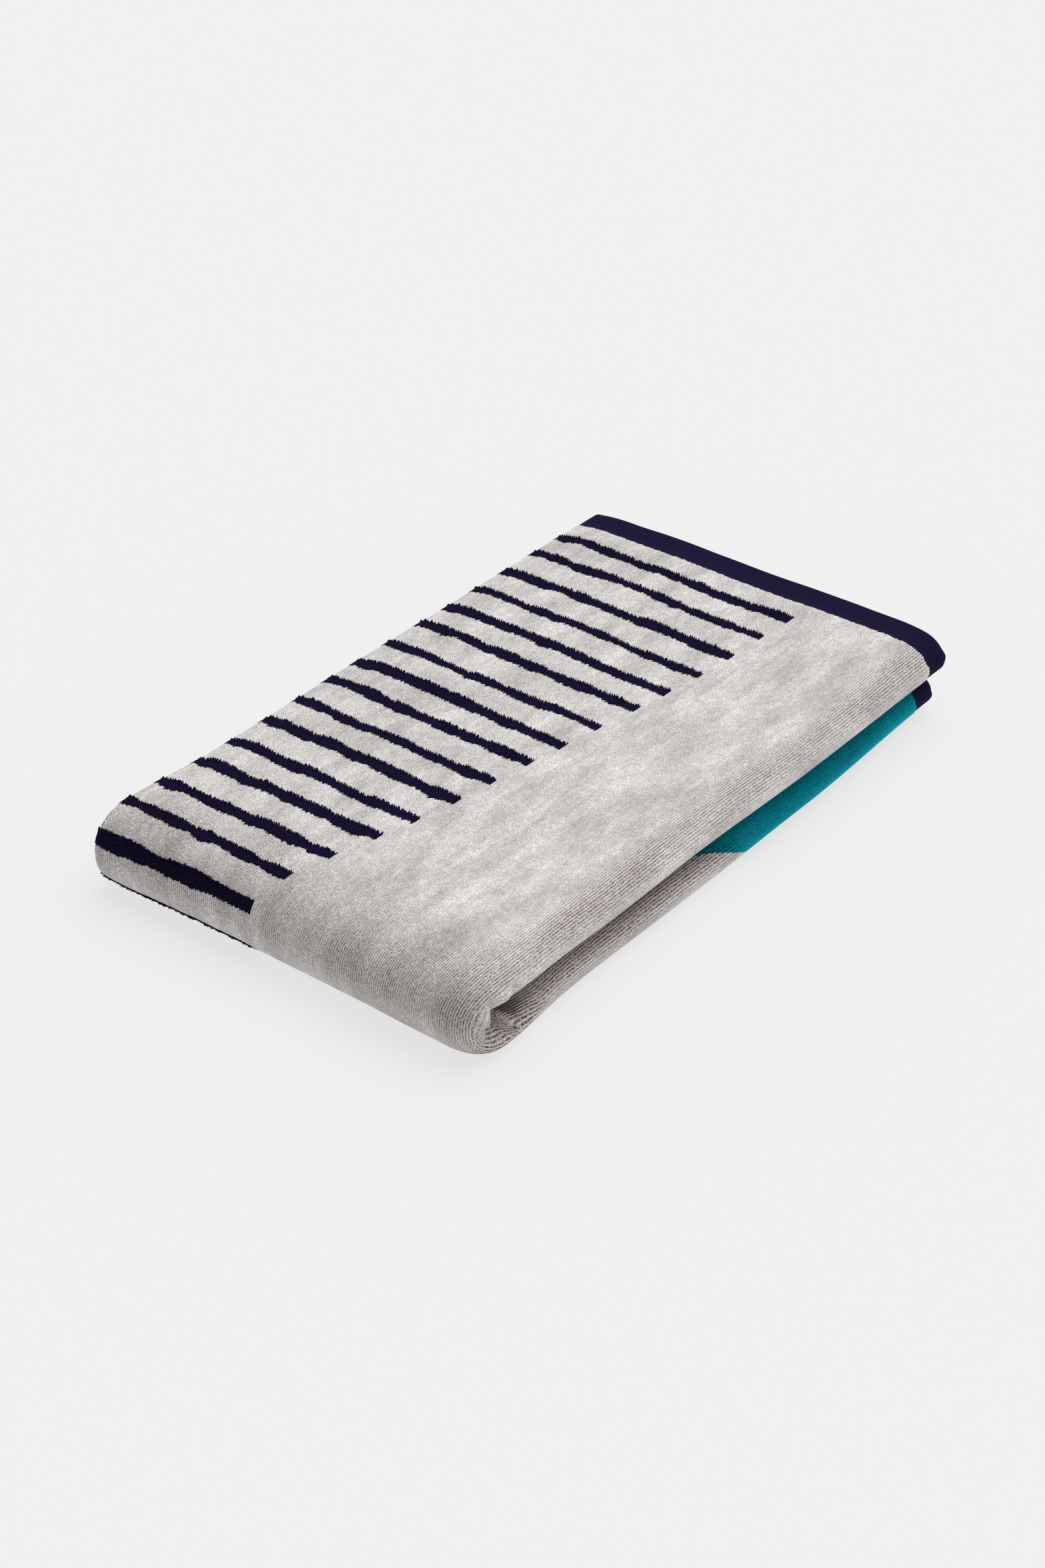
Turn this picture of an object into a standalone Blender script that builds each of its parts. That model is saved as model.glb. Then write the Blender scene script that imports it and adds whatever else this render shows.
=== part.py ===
"""Folded beach towel: one piece of velour terry, folded in six one way and in half the other way.

The cloth lies along +X, with the half fold (the nose) at -X and both hems at +X. The folded long edge that
shows faces -Y, +Z is up, and the towel rests on z = 0. The origin is under the middle of the folded towel.

Each half is a bundle of six layers. Its section runs back and forth without a break: the sixth layer, round
the outer wrap to the first, round a left fold to the second, round the middle wrap to the fifth, round a
left fold to the fourth, and round the inner wrap to the third. That section is swept from the hem end of
the lower half, round the nose, to the hem end of the upper half.
"""

import math
from collections import namedtuple

import bmesh
import bpy
import numpy as np

# The flat cloth, in metres.
CLOTH_LENGTH = 1.80
CLOTH_WIDTH = 1.00
LAYERS = 6
PILE_THICKNESS = 0.0041
HEM_THICKNESS = 0.0032
HEM_WIDTH = 0.0225
HEM_STEP = 0.001
LAYER_GAP = 0.00045

# The folded towel.
FOLDED_LENGTH = CLOTH_WIDTH / 2
FOLDED_WIDTH = CLOTH_LENGTH / LAYERS
PITCH = PILE_THICKNESS + LAYER_GAP
BUNDLE_HEIGHT = (LAYERS - 1) * PITCH + PILE_THICKNESS

# The nose: how far it reaches beyond the straight layers, and how square its two halves are.
NOSE_REACH = 0.029
NOSE_INNER_REACH = 0.002
NOSE_UPPER_POWER = 2.25
NOSE_LOWER_POWER = 2.35
NOSE_STEPS = 13
NOSE_PINCH = 0.006

# The three wraps along the long edge that shows. Reach is measured from the end of the straight layers.
WRAP_CENTRE = FOLDED_WIDTH - 0.027
OUTER_WRAP = {"reach": 0.025, "shift": 0.0, "power": 2.2, "steps": 12}
MIDDLE_WRAP = {"reach": 0.015, "shift": 0.0, "power": 2.2, "steps": 8}
INNER_WRAP = {"reach": PITCH / 2, "shift": 0.003, "power": 2.0, "steps": 6}

# The folds and free edges along the hidden long edge, measured from it.
FOLD_CENTRE = 0.0045
FOLD_STEPS = 6
THIRD_LAYER_EDGE = 0.012
SIXTH_LAYER_EDGE = 0.009
SOFT_EDGE_WIDTH = 0.035

# The opening between the halves: a narrow one everywhere, and a wider one at the near corner.
HALF_GAP = 0.0008
CORNER_HALF_GAP = 0.0025
CORNER_SQUEEZE = 0.07
CORNER_LENGTH = 0.18
CORNER_WIDTH = 0.07

# How the folded towel changes along its length. Edges are how far a long edge stands out from the plain
# folded width, seen from above, and thicknesses are shares of a plain bundle's.
SHAPE_ALONG = {
    "along": (0.03, 0.10, 0.22, 0.34, 0.50),
    "upper_shown_edge": (0.001, 0.000, -0.0015, 0.0005, 0.000),
    "lower_shown_edge": (0.002, -0.0025, -0.0015, -0.0025, -0.008),
    "upper_hidden_edge": (0.002, -0.001, -0.0005, -0.0015, -0.0025),
    "lower_hidden_edge": (0.002, 0.001, 0.002, 0.001, 0.000),
    "upper_thickness": (0.99, 0.995, 1.00, 0.99, 1.01),
    "lower_thickness": (0.985, 0.995, 1.005, 0.995, 1.01),
    "soft_edge": (0.03, 0.125, 0.12, 0.13, 0.13),
}

# How far the hem ends and the nose stand out beyond the plain folded length, from the hidden long edge to
# the one that shows.
SHAPE_ACROSS = {
    "across": (0.00, 0.10, 0.20, 0.26, 0.30),
    "nose": (0.0030, 0.000, 0.000, 0.0015, 0.003),
    "upper_hem_end": (0.0015, 0.004, 0.003, 0.003, 0.000),
    "lower_hem_end": (0.000, 0.000, 0.000, 0.000, 0.000),
}

# Soft rises and dips of the upper face: the middle of each along and across, its half length and width.
Swell = namedtuple("Swell", "along across half_length half_width rise")
UPPER_SWELLS = (
    Swell(0.09, 0.25, 0.08, 0.04, 0.0010),
    Swell(0.20, 0.12, 0.10, 0.07, -0.0008),
    Swell(0.33, 0.22, 0.09, 0.05, 0.0010),
    Swell(0.42, 0.08, 0.10, 0.07, 0.0007),
    Swell(0.48, 0.24, 0.14, 0.10, 0.0020),
)

# How far each layer stops short of the hem end, from the first layer to the sixth.
LAYER_SHORTFALLS = (0.0, 0.0022, 0.0014, 0.0030, 0.0019, 0.0008)
HEM_END_LENGTH = 0.12

# Places along the length where the section is set, from the hem end to the nose.
HEM_STATIONS = (0.0, HEM_WIDTH / 2, HEM_WIDTH - HEM_STEP, HEM_WIDTH + HEM_STEP)
PILE_STATIONS = (0.43, 0.37, 0.30, 0.23, 0.16, 0.10, 0.06, NOSE_REACH)
STATIONS = tuple(FOLDED_LENGTH - back for back in HEM_STATIONS) + PILE_STATIONS
CROSS_STEPS = 6

PILE_COLOUR = (0.62, 0.60, 0.59, 1.0)
PILE_ROUGHNESS = 0.95


def hill(distance):
    """Return a smooth hill that is 1 at a distance of 0 and 0 from 1 on."""
    inside = np.clip(1.0 - distance * distance, 0.0, 1.0)
    return inside * inside


def layer_height(layer):
    """Return the height of a layer's middle above the bundle's inner face."""
    return PILE_THICKNESS / 2 + (LAYERS - layer) * PITCH


def straight_run(start, end, layer):
    """Return the middle line of one straight layer, without its last point."""
    return [(across, layer_height(layer)) for across in np.linspace(start, end, CROSS_STEPS, endpoint=False)]


def wrap_run(from_layer, to_layer, wrap):
    """Return the rounded wrap that joins two layers along the edge that shows, without its last point."""
    middle = (layer_height(to_layer) + layer_height(from_layer)) / 2
    half = (layer_height(to_layer) - layer_height(from_layer)) / 2
    power = 2 / wrap["power"]
    points = []
    for step in range(wrap["steps"]):
        angle = math.pi * (step / wrap["steps"] - 0.5)
        out = wrap["reach"] * abs(math.cos(angle)) ** power
        up = half * math.copysign(abs(math.sin(angle)) ** power, angle)
        points.append((WRAP_CENTRE + wrap["shift"] + out, middle + up))
    return points


def fold_run(from_layer, to_layer):
    """Return the tight fold that joins two layers along the hidden edge, without its last point."""
    middle = (layer_height(to_layer) + layer_height(from_layer)) / 2
    half = (layer_height(to_layer) - layer_height(from_layer)) / 2
    points = []
    for step in range(FOLD_STEPS):
        angle = math.pi * (step / FOLD_STEPS - 0.5)
        points.append((FOLD_CENTRE - abs(half) * math.cos(angle), middle + half * math.sin(angle)))
    return points


def section_route():
    """Return the middle line of the whole back-and-forth section as (across, height) rows."""
    inner_centre = WRAP_CENTRE + INNER_WRAP["shift"]
    route = straight_run(SIXTH_LAYER_EDGE, WRAP_CENTRE, 6)
    route += wrap_run(6, 1, OUTER_WRAP)
    route += straight_run(WRAP_CENTRE, FOLD_CENTRE, 1)
    route += fold_run(1, 2)
    route += straight_run(FOLD_CENTRE, WRAP_CENTRE, 2)
    route += wrap_run(2, 5, MIDDLE_WRAP)
    route += straight_run(WRAP_CENTRE, FOLD_CENTRE, 5)
    route += fold_run(5, 4)
    route += straight_run(FOLD_CENTRE, inner_centre, 4)
    route += wrap_run(4, 3, INNER_WRAP)
    route += straight_run(inner_centre, THIRD_LAYER_EDGE, 3)
    route.append((THIRD_LAYER_EDGE, layer_height(3)))
    return np.array(route)


def section_sides(route, thickness):
    """Return the two sides of the cloth along its route, half a thickness to the left and to the right."""
    tangents = np.gradient(route, axis=0)
    tangents /= np.linalg.norm(tangents, axis=1)[:, None]
    normals = np.column_stack((-tangents[:, 1], tangents[:, 0]))
    return route + normals * thickness / 2, route - normals * thickness / 2


def eased(table, key, place, column):
    """Return a column's value at a place, eased between the rows of its table."""
    places = np.array(table[key])
    values = np.array(table[column])
    index = np.clip(np.searchsorted(places, place) - 1, 0, len(places) - 2)
    share = np.clip((place - places[index]) / (places[index + 1] - places[index]), 0.0, 1.0)
    ease = share * share * (3 - 2 * share)
    return values[index] * (1 - ease) + values[index + 1] * ease


def shape_along(column, along):
    """Return a SHAPE_ALONG column at a place along the length."""
    return eased(SHAPE_ALONG, "along", along, column)


def spread_across(across, shown_step, hidden_step):
    """Stretch places across the section so that its two edges stand out by the given steps."""
    return -hidden_step + across / FOLDED_WIDTH * (FOLDED_WIDTH + shown_step + hidden_step)


def corner_share(along, across):
    """Return how strongly the near corner opens at a place, from 0 to 1."""
    return hill(along / CORNER_LENGTH) * hill((FOLDED_WIDTH - across) / CORNER_WIDTH)


def half_gap(along, across):
    """Return half the opening between the two bundles."""
    return HALF_GAP + CORNER_HALF_GAP * corner_share(along, across)


def lower_scale(along, across):
    """Return the lower bundle's thickness as a share of the plain one."""
    return shape_along("lower_thickness", along) - CORNER_SQUEEZE * corner_share(along, across)


def upper_scale(along, across):
    """Return the upper bundle's thickness as a share of the plain one, with its rises and dips."""
    rise = 0.0
    for swell in UPPER_SWELLS:
        near = hill((along - swell.along) / swell.half_length)
        rise = rise + swell.rise * near * hill((across - swell.across) / swell.half_width)
    plain = shape_along("upper_thickness", along) - CORNER_SQUEEZE * corner_share(along, across)
    return plain + rise / BUNDLE_HEIGHT


def soft_edge(along, across):
    """Return how the bundles thin out towards the hidden edge, where the layers sag at their folds."""
    share = np.clip(1.0 - across / SOFT_EDGE_WIDTH, 0.0, 1.5)
    return 1.0 - shape_along("soft_edge", along) * share * share


def hem_step(along, across, height, upper):
    """Return how far a point near the hem end stands out: the end bows, and the layers lie a little uneven."""
    heights = [layer_height(layer) for layer in range(LAYERS, 0, -1)]
    near = np.clip((along - FOLDED_LENGTH + HEM_END_LENGTH) / HEM_END_LENGTH, 0.0, 1.0)
    bow = eased(SHAPE_ACROSS, "across", across, "upper_hem_end" if upper else "lower_hem_end")
    return (bow - np.interp(height, heights, LAYER_SHORTFALLS[::-1])) * near * near


def place_straight(side, along, upper):
    """Place one side of the section in the straight part of a bundle."""
    across, height = side[:, 0], side[:, 1]
    gap = half_gap(along, across)
    middle = BUNDLE_HEIGHT * lower_scale(along, across) + gap
    if upper:
        up = middle + gap + height * upper_scale(along, across) * soft_edge(along, across)
        shown, hidden = shape_along("upper_shown_edge", along), shape_along("upper_hidden_edge", along)
    else:
        up = middle - gap - height * lower_scale(along, across) * soft_edge(along, across)
        shown, hidden = shape_along("lower_shown_edge", along), shape_along("lower_hidden_edge", along)
    ahead = along + hem_step(along, across, height, upper)
    return np.column_stack((ahead, FOLDED_WIDTH / 2 - spread_across(across, shown, hidden), up))


def place_nose(side, angle):
    """Place one side of the section round the nose; the angle is -90 degrees below and 90 above."""
    across, height = side[:, 0], side[:, 1]
    gap = half_gap(NOSE_REACH, across)
    middle = BUNDLE_HEIGHT * lower_scale(NOSE_REACH, across) + gap
    scale = upper_scale(NOSE_REACH, across) if angle > 0 else lower_scale(NOSE_REACH, across)
    power = 2 / (NOSE_UPPER_POWER if angle > 0 else NOSE_LOWER_POWER)
    soft = soft_edge(NOSE_REACH, across)
    outer_reach = NOSE_REACH + eased(SHAPE_ACROSS, "across", across, "nose")
    reach = NOSE_INNER_REACH + (outer_reach - NOSE_INNER_REACH) * height / BUNDLE_HEIGHT * soft
    out = reach * abs(math.cos(angle)) ** power
    up = middle + (gap + height * scale * soft) * math.copysign(abs(math.sin(angle)) ** power, angle)
    share = (1 + math.sin(angle)) / 2
    shown = shape_along("upper_shown_edge", NOSE_REACH) * share
    shown += shape_along("lower_shown_edge", NOSE_REACH) * (1 - share) - NOSE_PINCH * math.cos(angle) ** 2
    hidden = shape_along("upper_hidden_edge", NOSE_REACH) * share
    hidden += shape_along("lower_hidden_edge", NOSE_REACH) * (1 - share)
    return np.column_stack((NOSE_REACH - out, FOLDED_WIDTH / 2 - spread_across(across, shown, hidden), up))


def towel_rings():
    """Return the section's closed outline at every station, from the lower hem end to the upper one."""
    route = section_route()
    pile_sides = section_sides(route, PILE_THICKNESS)
    hem_sides = section_sides(route, HEM_THICKNESS)

    def ring(place, along, *values):
        sides = hem_sides if along > FOLDED_LENGTH - HEM_WIDTH else pile_sides
        return np.vstack((place(sides[0], *values), place(sides[1], *values)[::-1]))

    rings = [ring(place_straight, along, along, False) for along in STATIONS]
    for step in range(1, NOSE_STEPS):
        rings.append(ring(place_nose, 0.0, math.pi * (step / NOSE_STEPS - 0.5)))
    rings += [ring(place_straight, along, along, True) for along in reversed(STATIONS)]
    return np.array(rings)


def add_towel():
    """Build the towel as one closed mesh and return its object."""
    rings = towel_rings()
    low, high = rings.min(axis=(0, 1)), rings.max(axis=(0, 1))
    rings = rings - ((low[0] + high[0]) / 2, (low[1] + high[1]) / 2, 0.0)
    ring_count, point_count = rings.shape[:2]
    mesh = bmesh.new()
    verts = [[mesh.verts.new(point) for point in ring] for ring in rings]
    for first, second in zip(verts, verts[1:]):
        for index in range(point_count):
            following = (index + 1) % point_count
            mesh.faces.new((first[index], first[following], second[following], second[index]))
    for ring in (verts[0], verts[-1]):
        for index in range(point_count // 2 - 1):
            across = point_count - 1 - index
            mesh.faces.new((ring[index], ring[index + 1], ring[across - 1], ring[across]))
    bmesh.ops.recalc_face_normals(mesh, faces=mesh.faces)
    data = bpy.data.meshes.new("towel")
    mesh.to_mesh(data)
    mesh.free()
    data.shade_smooth()
    data.set_sharp_from_angle(angle=math.radians(50))
    towel = bpy.data.objects.new("towel", data)
    bpy.context.collection.objects.link(towel)
    return towel


def pile_material():
    """Return the grey velour pile's material."""
    material = bpy.data.materials.new("grey_velour")
    material.use_nodes = True
    shader = material.node_tree.nodes["Principled BSDF"]
    shader.inputs["Base Color"].default_value = PILE_COLOUR
    shader.inputs["Roughness"].default_value = PILE_ROUGHNESS
    shader.inputs["Metallic"].default_value = 0.0
    return material


for old in list(bpy.data.objects):
    bpy.data.objects.remove(old, do_unlink=True)
add_towel().data.materials.append(pile_material())
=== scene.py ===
"""Folded velour beach towel: its cloth, stripes, hems and studio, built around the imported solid.

The cloth is one back-and-forth sheet. Its section, six layers deep, is swept from the hem end of the lower
half, round the nose, to the hem end of the upper half. Two cloth coordinates are used throughout, both in
metres: the route runs along the section, which is the towel's long side, and the path runs along the sweep,
which is its short side, with 0 at the middle of the nose, minus below it and plus above it.
"""

import logging
import math
from dataclasses import dataclass, field
from enum import Enum, IntEnum
from typing import Any

import bpy
import numpy as np
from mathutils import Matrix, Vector

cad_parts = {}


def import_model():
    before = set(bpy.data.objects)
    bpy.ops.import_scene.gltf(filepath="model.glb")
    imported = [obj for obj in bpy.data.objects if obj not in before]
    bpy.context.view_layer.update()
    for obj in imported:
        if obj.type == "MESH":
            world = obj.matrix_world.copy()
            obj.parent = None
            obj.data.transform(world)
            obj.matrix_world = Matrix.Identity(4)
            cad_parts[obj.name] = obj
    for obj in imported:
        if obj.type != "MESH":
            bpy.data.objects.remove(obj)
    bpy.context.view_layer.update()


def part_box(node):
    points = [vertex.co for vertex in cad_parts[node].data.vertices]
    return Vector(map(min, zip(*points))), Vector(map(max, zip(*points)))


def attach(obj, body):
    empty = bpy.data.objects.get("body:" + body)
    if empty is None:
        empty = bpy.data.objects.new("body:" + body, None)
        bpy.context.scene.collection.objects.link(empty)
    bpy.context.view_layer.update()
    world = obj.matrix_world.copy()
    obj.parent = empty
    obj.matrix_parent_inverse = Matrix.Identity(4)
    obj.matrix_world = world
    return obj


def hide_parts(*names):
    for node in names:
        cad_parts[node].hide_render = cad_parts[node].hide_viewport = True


LOG = logging.getLogger("towel")
NODE = "towel"
BODY = "root"
CLOTH_MAP = "cloth"
OPENING_AND_SHADE = "rib_opening_and_shade"
MM = 0.001

Array = np.ndarray
Span = tuple[float, float]
Tree = bpy.types.NodeTree
Socket = bpy.types.NodeSocket
NONE_TO_ALL: Span = (0.0, 1.0)


# ---------------------------------------------------------------------------------------------------------
# Small helpers
# ---------------------------------------------------------------------------------------------------------


def linear(colour: str) -> tuple[float, float, float, float]:
    """Turn an sRGB hex colour into linear red, green, blue and alpha.

    Args:
        colour: Six hex digits after a hash sign.

    Returns:
        The linear colour with an alpha of 1.
    """
    values = (int(colour[place : place + 2], 16) / 255 for place in (1, 3, 5))
    rgb = tuple(v / 12.92 if v <= 0.04045 else ((v + 0.055) / 1.055) ** 2.4 for v in values)
    return (*rgb, 1.0)


def hill(distance: Array) -> Array:
    """Return a smooth hill that is 1 at a distance of 0 and 0 from 1 on."""
    inside = np.clip(1.0 - np.square(distance), 0.0, 1.0)
    return np.square(inside)


def ease(share: Array) -> Array:
    """Return a share from 0 to 1, eased at both ends."""
    held = np.clip(share, 0.0, 1.0)
    return held * held * (3.0 - 2.0 * held)


def add_node(tree: Tree, kind: str, inputs: dict[Any, Any] | None = None, **settings: Any) -> bpy.types.Node:
    """Add a shader node, set its properties, and set or link its inputs.

    Args:
        tree: The node tree that takes the node.
        kind: The node's type, without the ShaderNode that all types start with.
        inputs: Values or output sockets by input name or number.
        **settings: Properties of the node, such as operation.

    Returns:
        The new node.
    """
    node = tree.nodes.new(f"ShaderNode{kind}")
    for name, value in settings.items():
        setattr(node, name, value)
    for name, value in (inputs or {}).items():
        if isinstance(value, bpy.types.NodeSocket):
            tree.links.new(value, node.inputs[name])
        else:
            node.inputs[name].default_value = value
    return node


def maths(tree: Tree, operation: str, first: Any, second: Any) -> Socket:
    """Add one sum and return its value socket."""
    return add_node(tree, "Math", {0: first, 1: second}, operation=operation).outputs[0]


def mapped(tree: Tree, value: Socket, start: Span, end: Span = NONE_TO_ALL) -> Socket:
    """Map a value from one range to another and hold it there.

    Args:
        tree: The node tree.
        value: The value's socket.
        start: Two values of the socket.
        end: What they become.

    Returns:
        The mapped value's socket.
    """
    ends = {1: start[0], 2: start[1], 3: end[0], 4: end[1]}
    return add_node(tree, "MapRange", {0: value, **ends}).outputs[0]


def mixed(tree: Tree, share: Socket, first: Any, second: Any) -> Socket:
    """Mix two colours and return the mixed colour's socket."""
    return add_node(tree, "Mix", {0: share, 6: first, 7: second}, data_type="RGBA").outputs[2]


def new_material(name: str, matt: float, gloss: float) -> tuple[bpy.types.Material, bpy.types.Node]:
    """Make a material.

    Args:
        name: The material's name.
        matt: Its roughness.
        gloss: How much plain light it mirrors.

    Returns:
        The material and its shader node.
    """
    material = bpy.data.materials.new(name)
    material.use_nodes = True
    shader = material.node_tree.nodes["Principled BSDF"]
    shader.inputs["Roughness"].default_value = matt
    shader.inputs["Specular IOR Level"].default_value = gloss
    return material, shader


def new_object(name: str, data: bpy.types.ID) -> bpy.types.Object:
    """Make an object of a mesh, a lamp or a camera, and put it in the scene.

    Args:
        name: The object's name.
        data: What it is made of.

    Returns:
        The object.
    """
    made = bpy.data.objects.new(name, data)
    bpy.context.collection.objects.link(made)
    return made


@dataclass(frozen=True)
class SoftNoise:
    """Smooth, seeded noise over a plane, from -1 to 1.

    Attributes:
        seed: Starts the random numbers.
        cell_x: Size of one lattice cell along x, in metres.
        cell_y: Size of one lattice cell along y, in metres.
        lattice: How many cells there are each way before the noise repeats.
    """

    seed: int
    cell_x: float
    cell_y: float
    lattice: int = 64

    def __call__(self, x: Array, y: Array) -> Array:
        """Return the noise at the given places.

        Args:
            x: Places along x, in metres.
            y: Places along y, in metres.

        Returns:
            The noise, from -1 to 1.
        """
        values = np.random.default_rng(self.seed).uniform(-1.0, 1.0, (self.lattice, self.lattice))
        x, y = np.broadcast_arrays(np.asarray(x) / self.cell_x, np.asarray(y) / self.cell_y)
        left, low = np.floor(x).astype(int), np.floor(y).astype(int)
        across, up = ease(x - left), ease(y - low)
        left, low = left % self.lattice, low % self.lattice
        right, high = (left + 1) % self.lattice, (low + 1) % self.lattice
        bottom = values[left, low] * (1 - across) + values[right, low] * across
        top = values[left, high] * (1 - across) + values[right, high] * across
        return bottom * (1 - up) + top * up


# ---------------------------------------------------------------------------------------------------------
# The folded shape
# ---------------------------------------------------------------------------------------------------------


@dataclass(frozen=True)
class Wrap:
    """One rounded turn of the section.

    Attributes:
        centre: Where its straight layers end, across from the hidden edge.
        reach: How far it reaches on, minus towards the hidden edge.
        power: How square it is: 2 is an ellipse.
    """

    centre: float
    reach: float
    power: float


@dataclass(frozen=True)
class Swell:
    """A soft rise or dip of the upper face: its middle, half length, half width and rise, in metres."""

    along: float
    across: float
    half_length: float
    half_width: float
    rise: float


@dataclass(frozen=True)
class Buckle:
    """A small buckle of the outer wrap near the nose, pushed in (minus) or out (plus).

    Attributes:
        path: Middle of the buckle along the path.
        height: Middle of the buckle above the bundle's inner face.
        half_path: Half its length along the path.
        half_height: Half its height.
        push: How far it stands out across.
        lift: How far it rises away from the bundle's inner face.
    """

    path: float
    height: float
    half_path: float
    half_height: float
    push: float
    lift: float = 0.0


@dataclass(frozen=True)
class Pleat:
    """The pleat in the lower half's side at the nose: the cloth runs in behind the upper half's lip.

    Attributes:
        crest_start: Where the crest starts at the mouth, from the nose's straight end; minus is noseward.
        crest_slant: How far the crest moves away from the nose for each metre down from the mouth.
        slope: How steeply the cloth runs in beyond the crest.
        depth: How far in it runs.
        full_height: Down to where it is full.
        end_height: Where it has run out.
        flap_path: Where the cloth comes out again, as the edge of a flap under the lip's end.
        flap_turn: Length of the path in which it comes out.
        pocket_depth: How far in the pocket on the crest's hem side lies.
        pocket_step: How soon it falls away behind the crest.
        pocket_length: How slowly it comes out again towards the hems.
        pocket_full_height: Down to where the pocket is full.
        pocket_end_height: Where it has run out.
    """

    crest_start: float = -2 * MM
    crest_slant: float = 0.8
    slope: float = 1.25
    depth: float = 9 * MM
    full_height: float = 8 * MM
    end_height: float = 20 * MM
    flap_path: float = -21 * MM
    flap_turn: float = 7 * MM
    pocket_depth: float = 8.5 * MM
    pocket_step: float = 2 * MM
    pocket_length: float = 26 * MM
    pocket_full_height: float = 9 * MM
    pocket_end_height: float = 17 * MM

    def push(self, from_nose: Array, height: Array, path: Array) -> Array:
        """Return how far the cloth stands out across because of the pleat, which is never plus.

        Args:
            from_nose: Places along, from the nose's straight end.
            height: Heights above the inner face.
            path: Places along the path.

        Returns:
            The push.
        """
        beyond = self.crest_start + self.crest_slant * height - from_nose
        run_in = np.clip(beyond * self.slope, 0.0, self.depth)
        run_in = run_in * (1 - ease((height - self.full_height) / (self.end_height - self.full_height)))
        run_in = run_in * ease((self.flap_path - path) / self.flap_turn + 0.5)
        behind = -beyond
        pocket = ease(behind / self.pocket_step)
        pocket = pocket * (1 - ease((behind - self.pocket_step) / self.pocket_length))
        low = (height - self.pocket_full_height) / (self.pocket_end_height - self.pocket_full_height)
        return -run_in - self.pocket_depth * pocket * (1 - ease(low)) * (path < 0)


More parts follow.
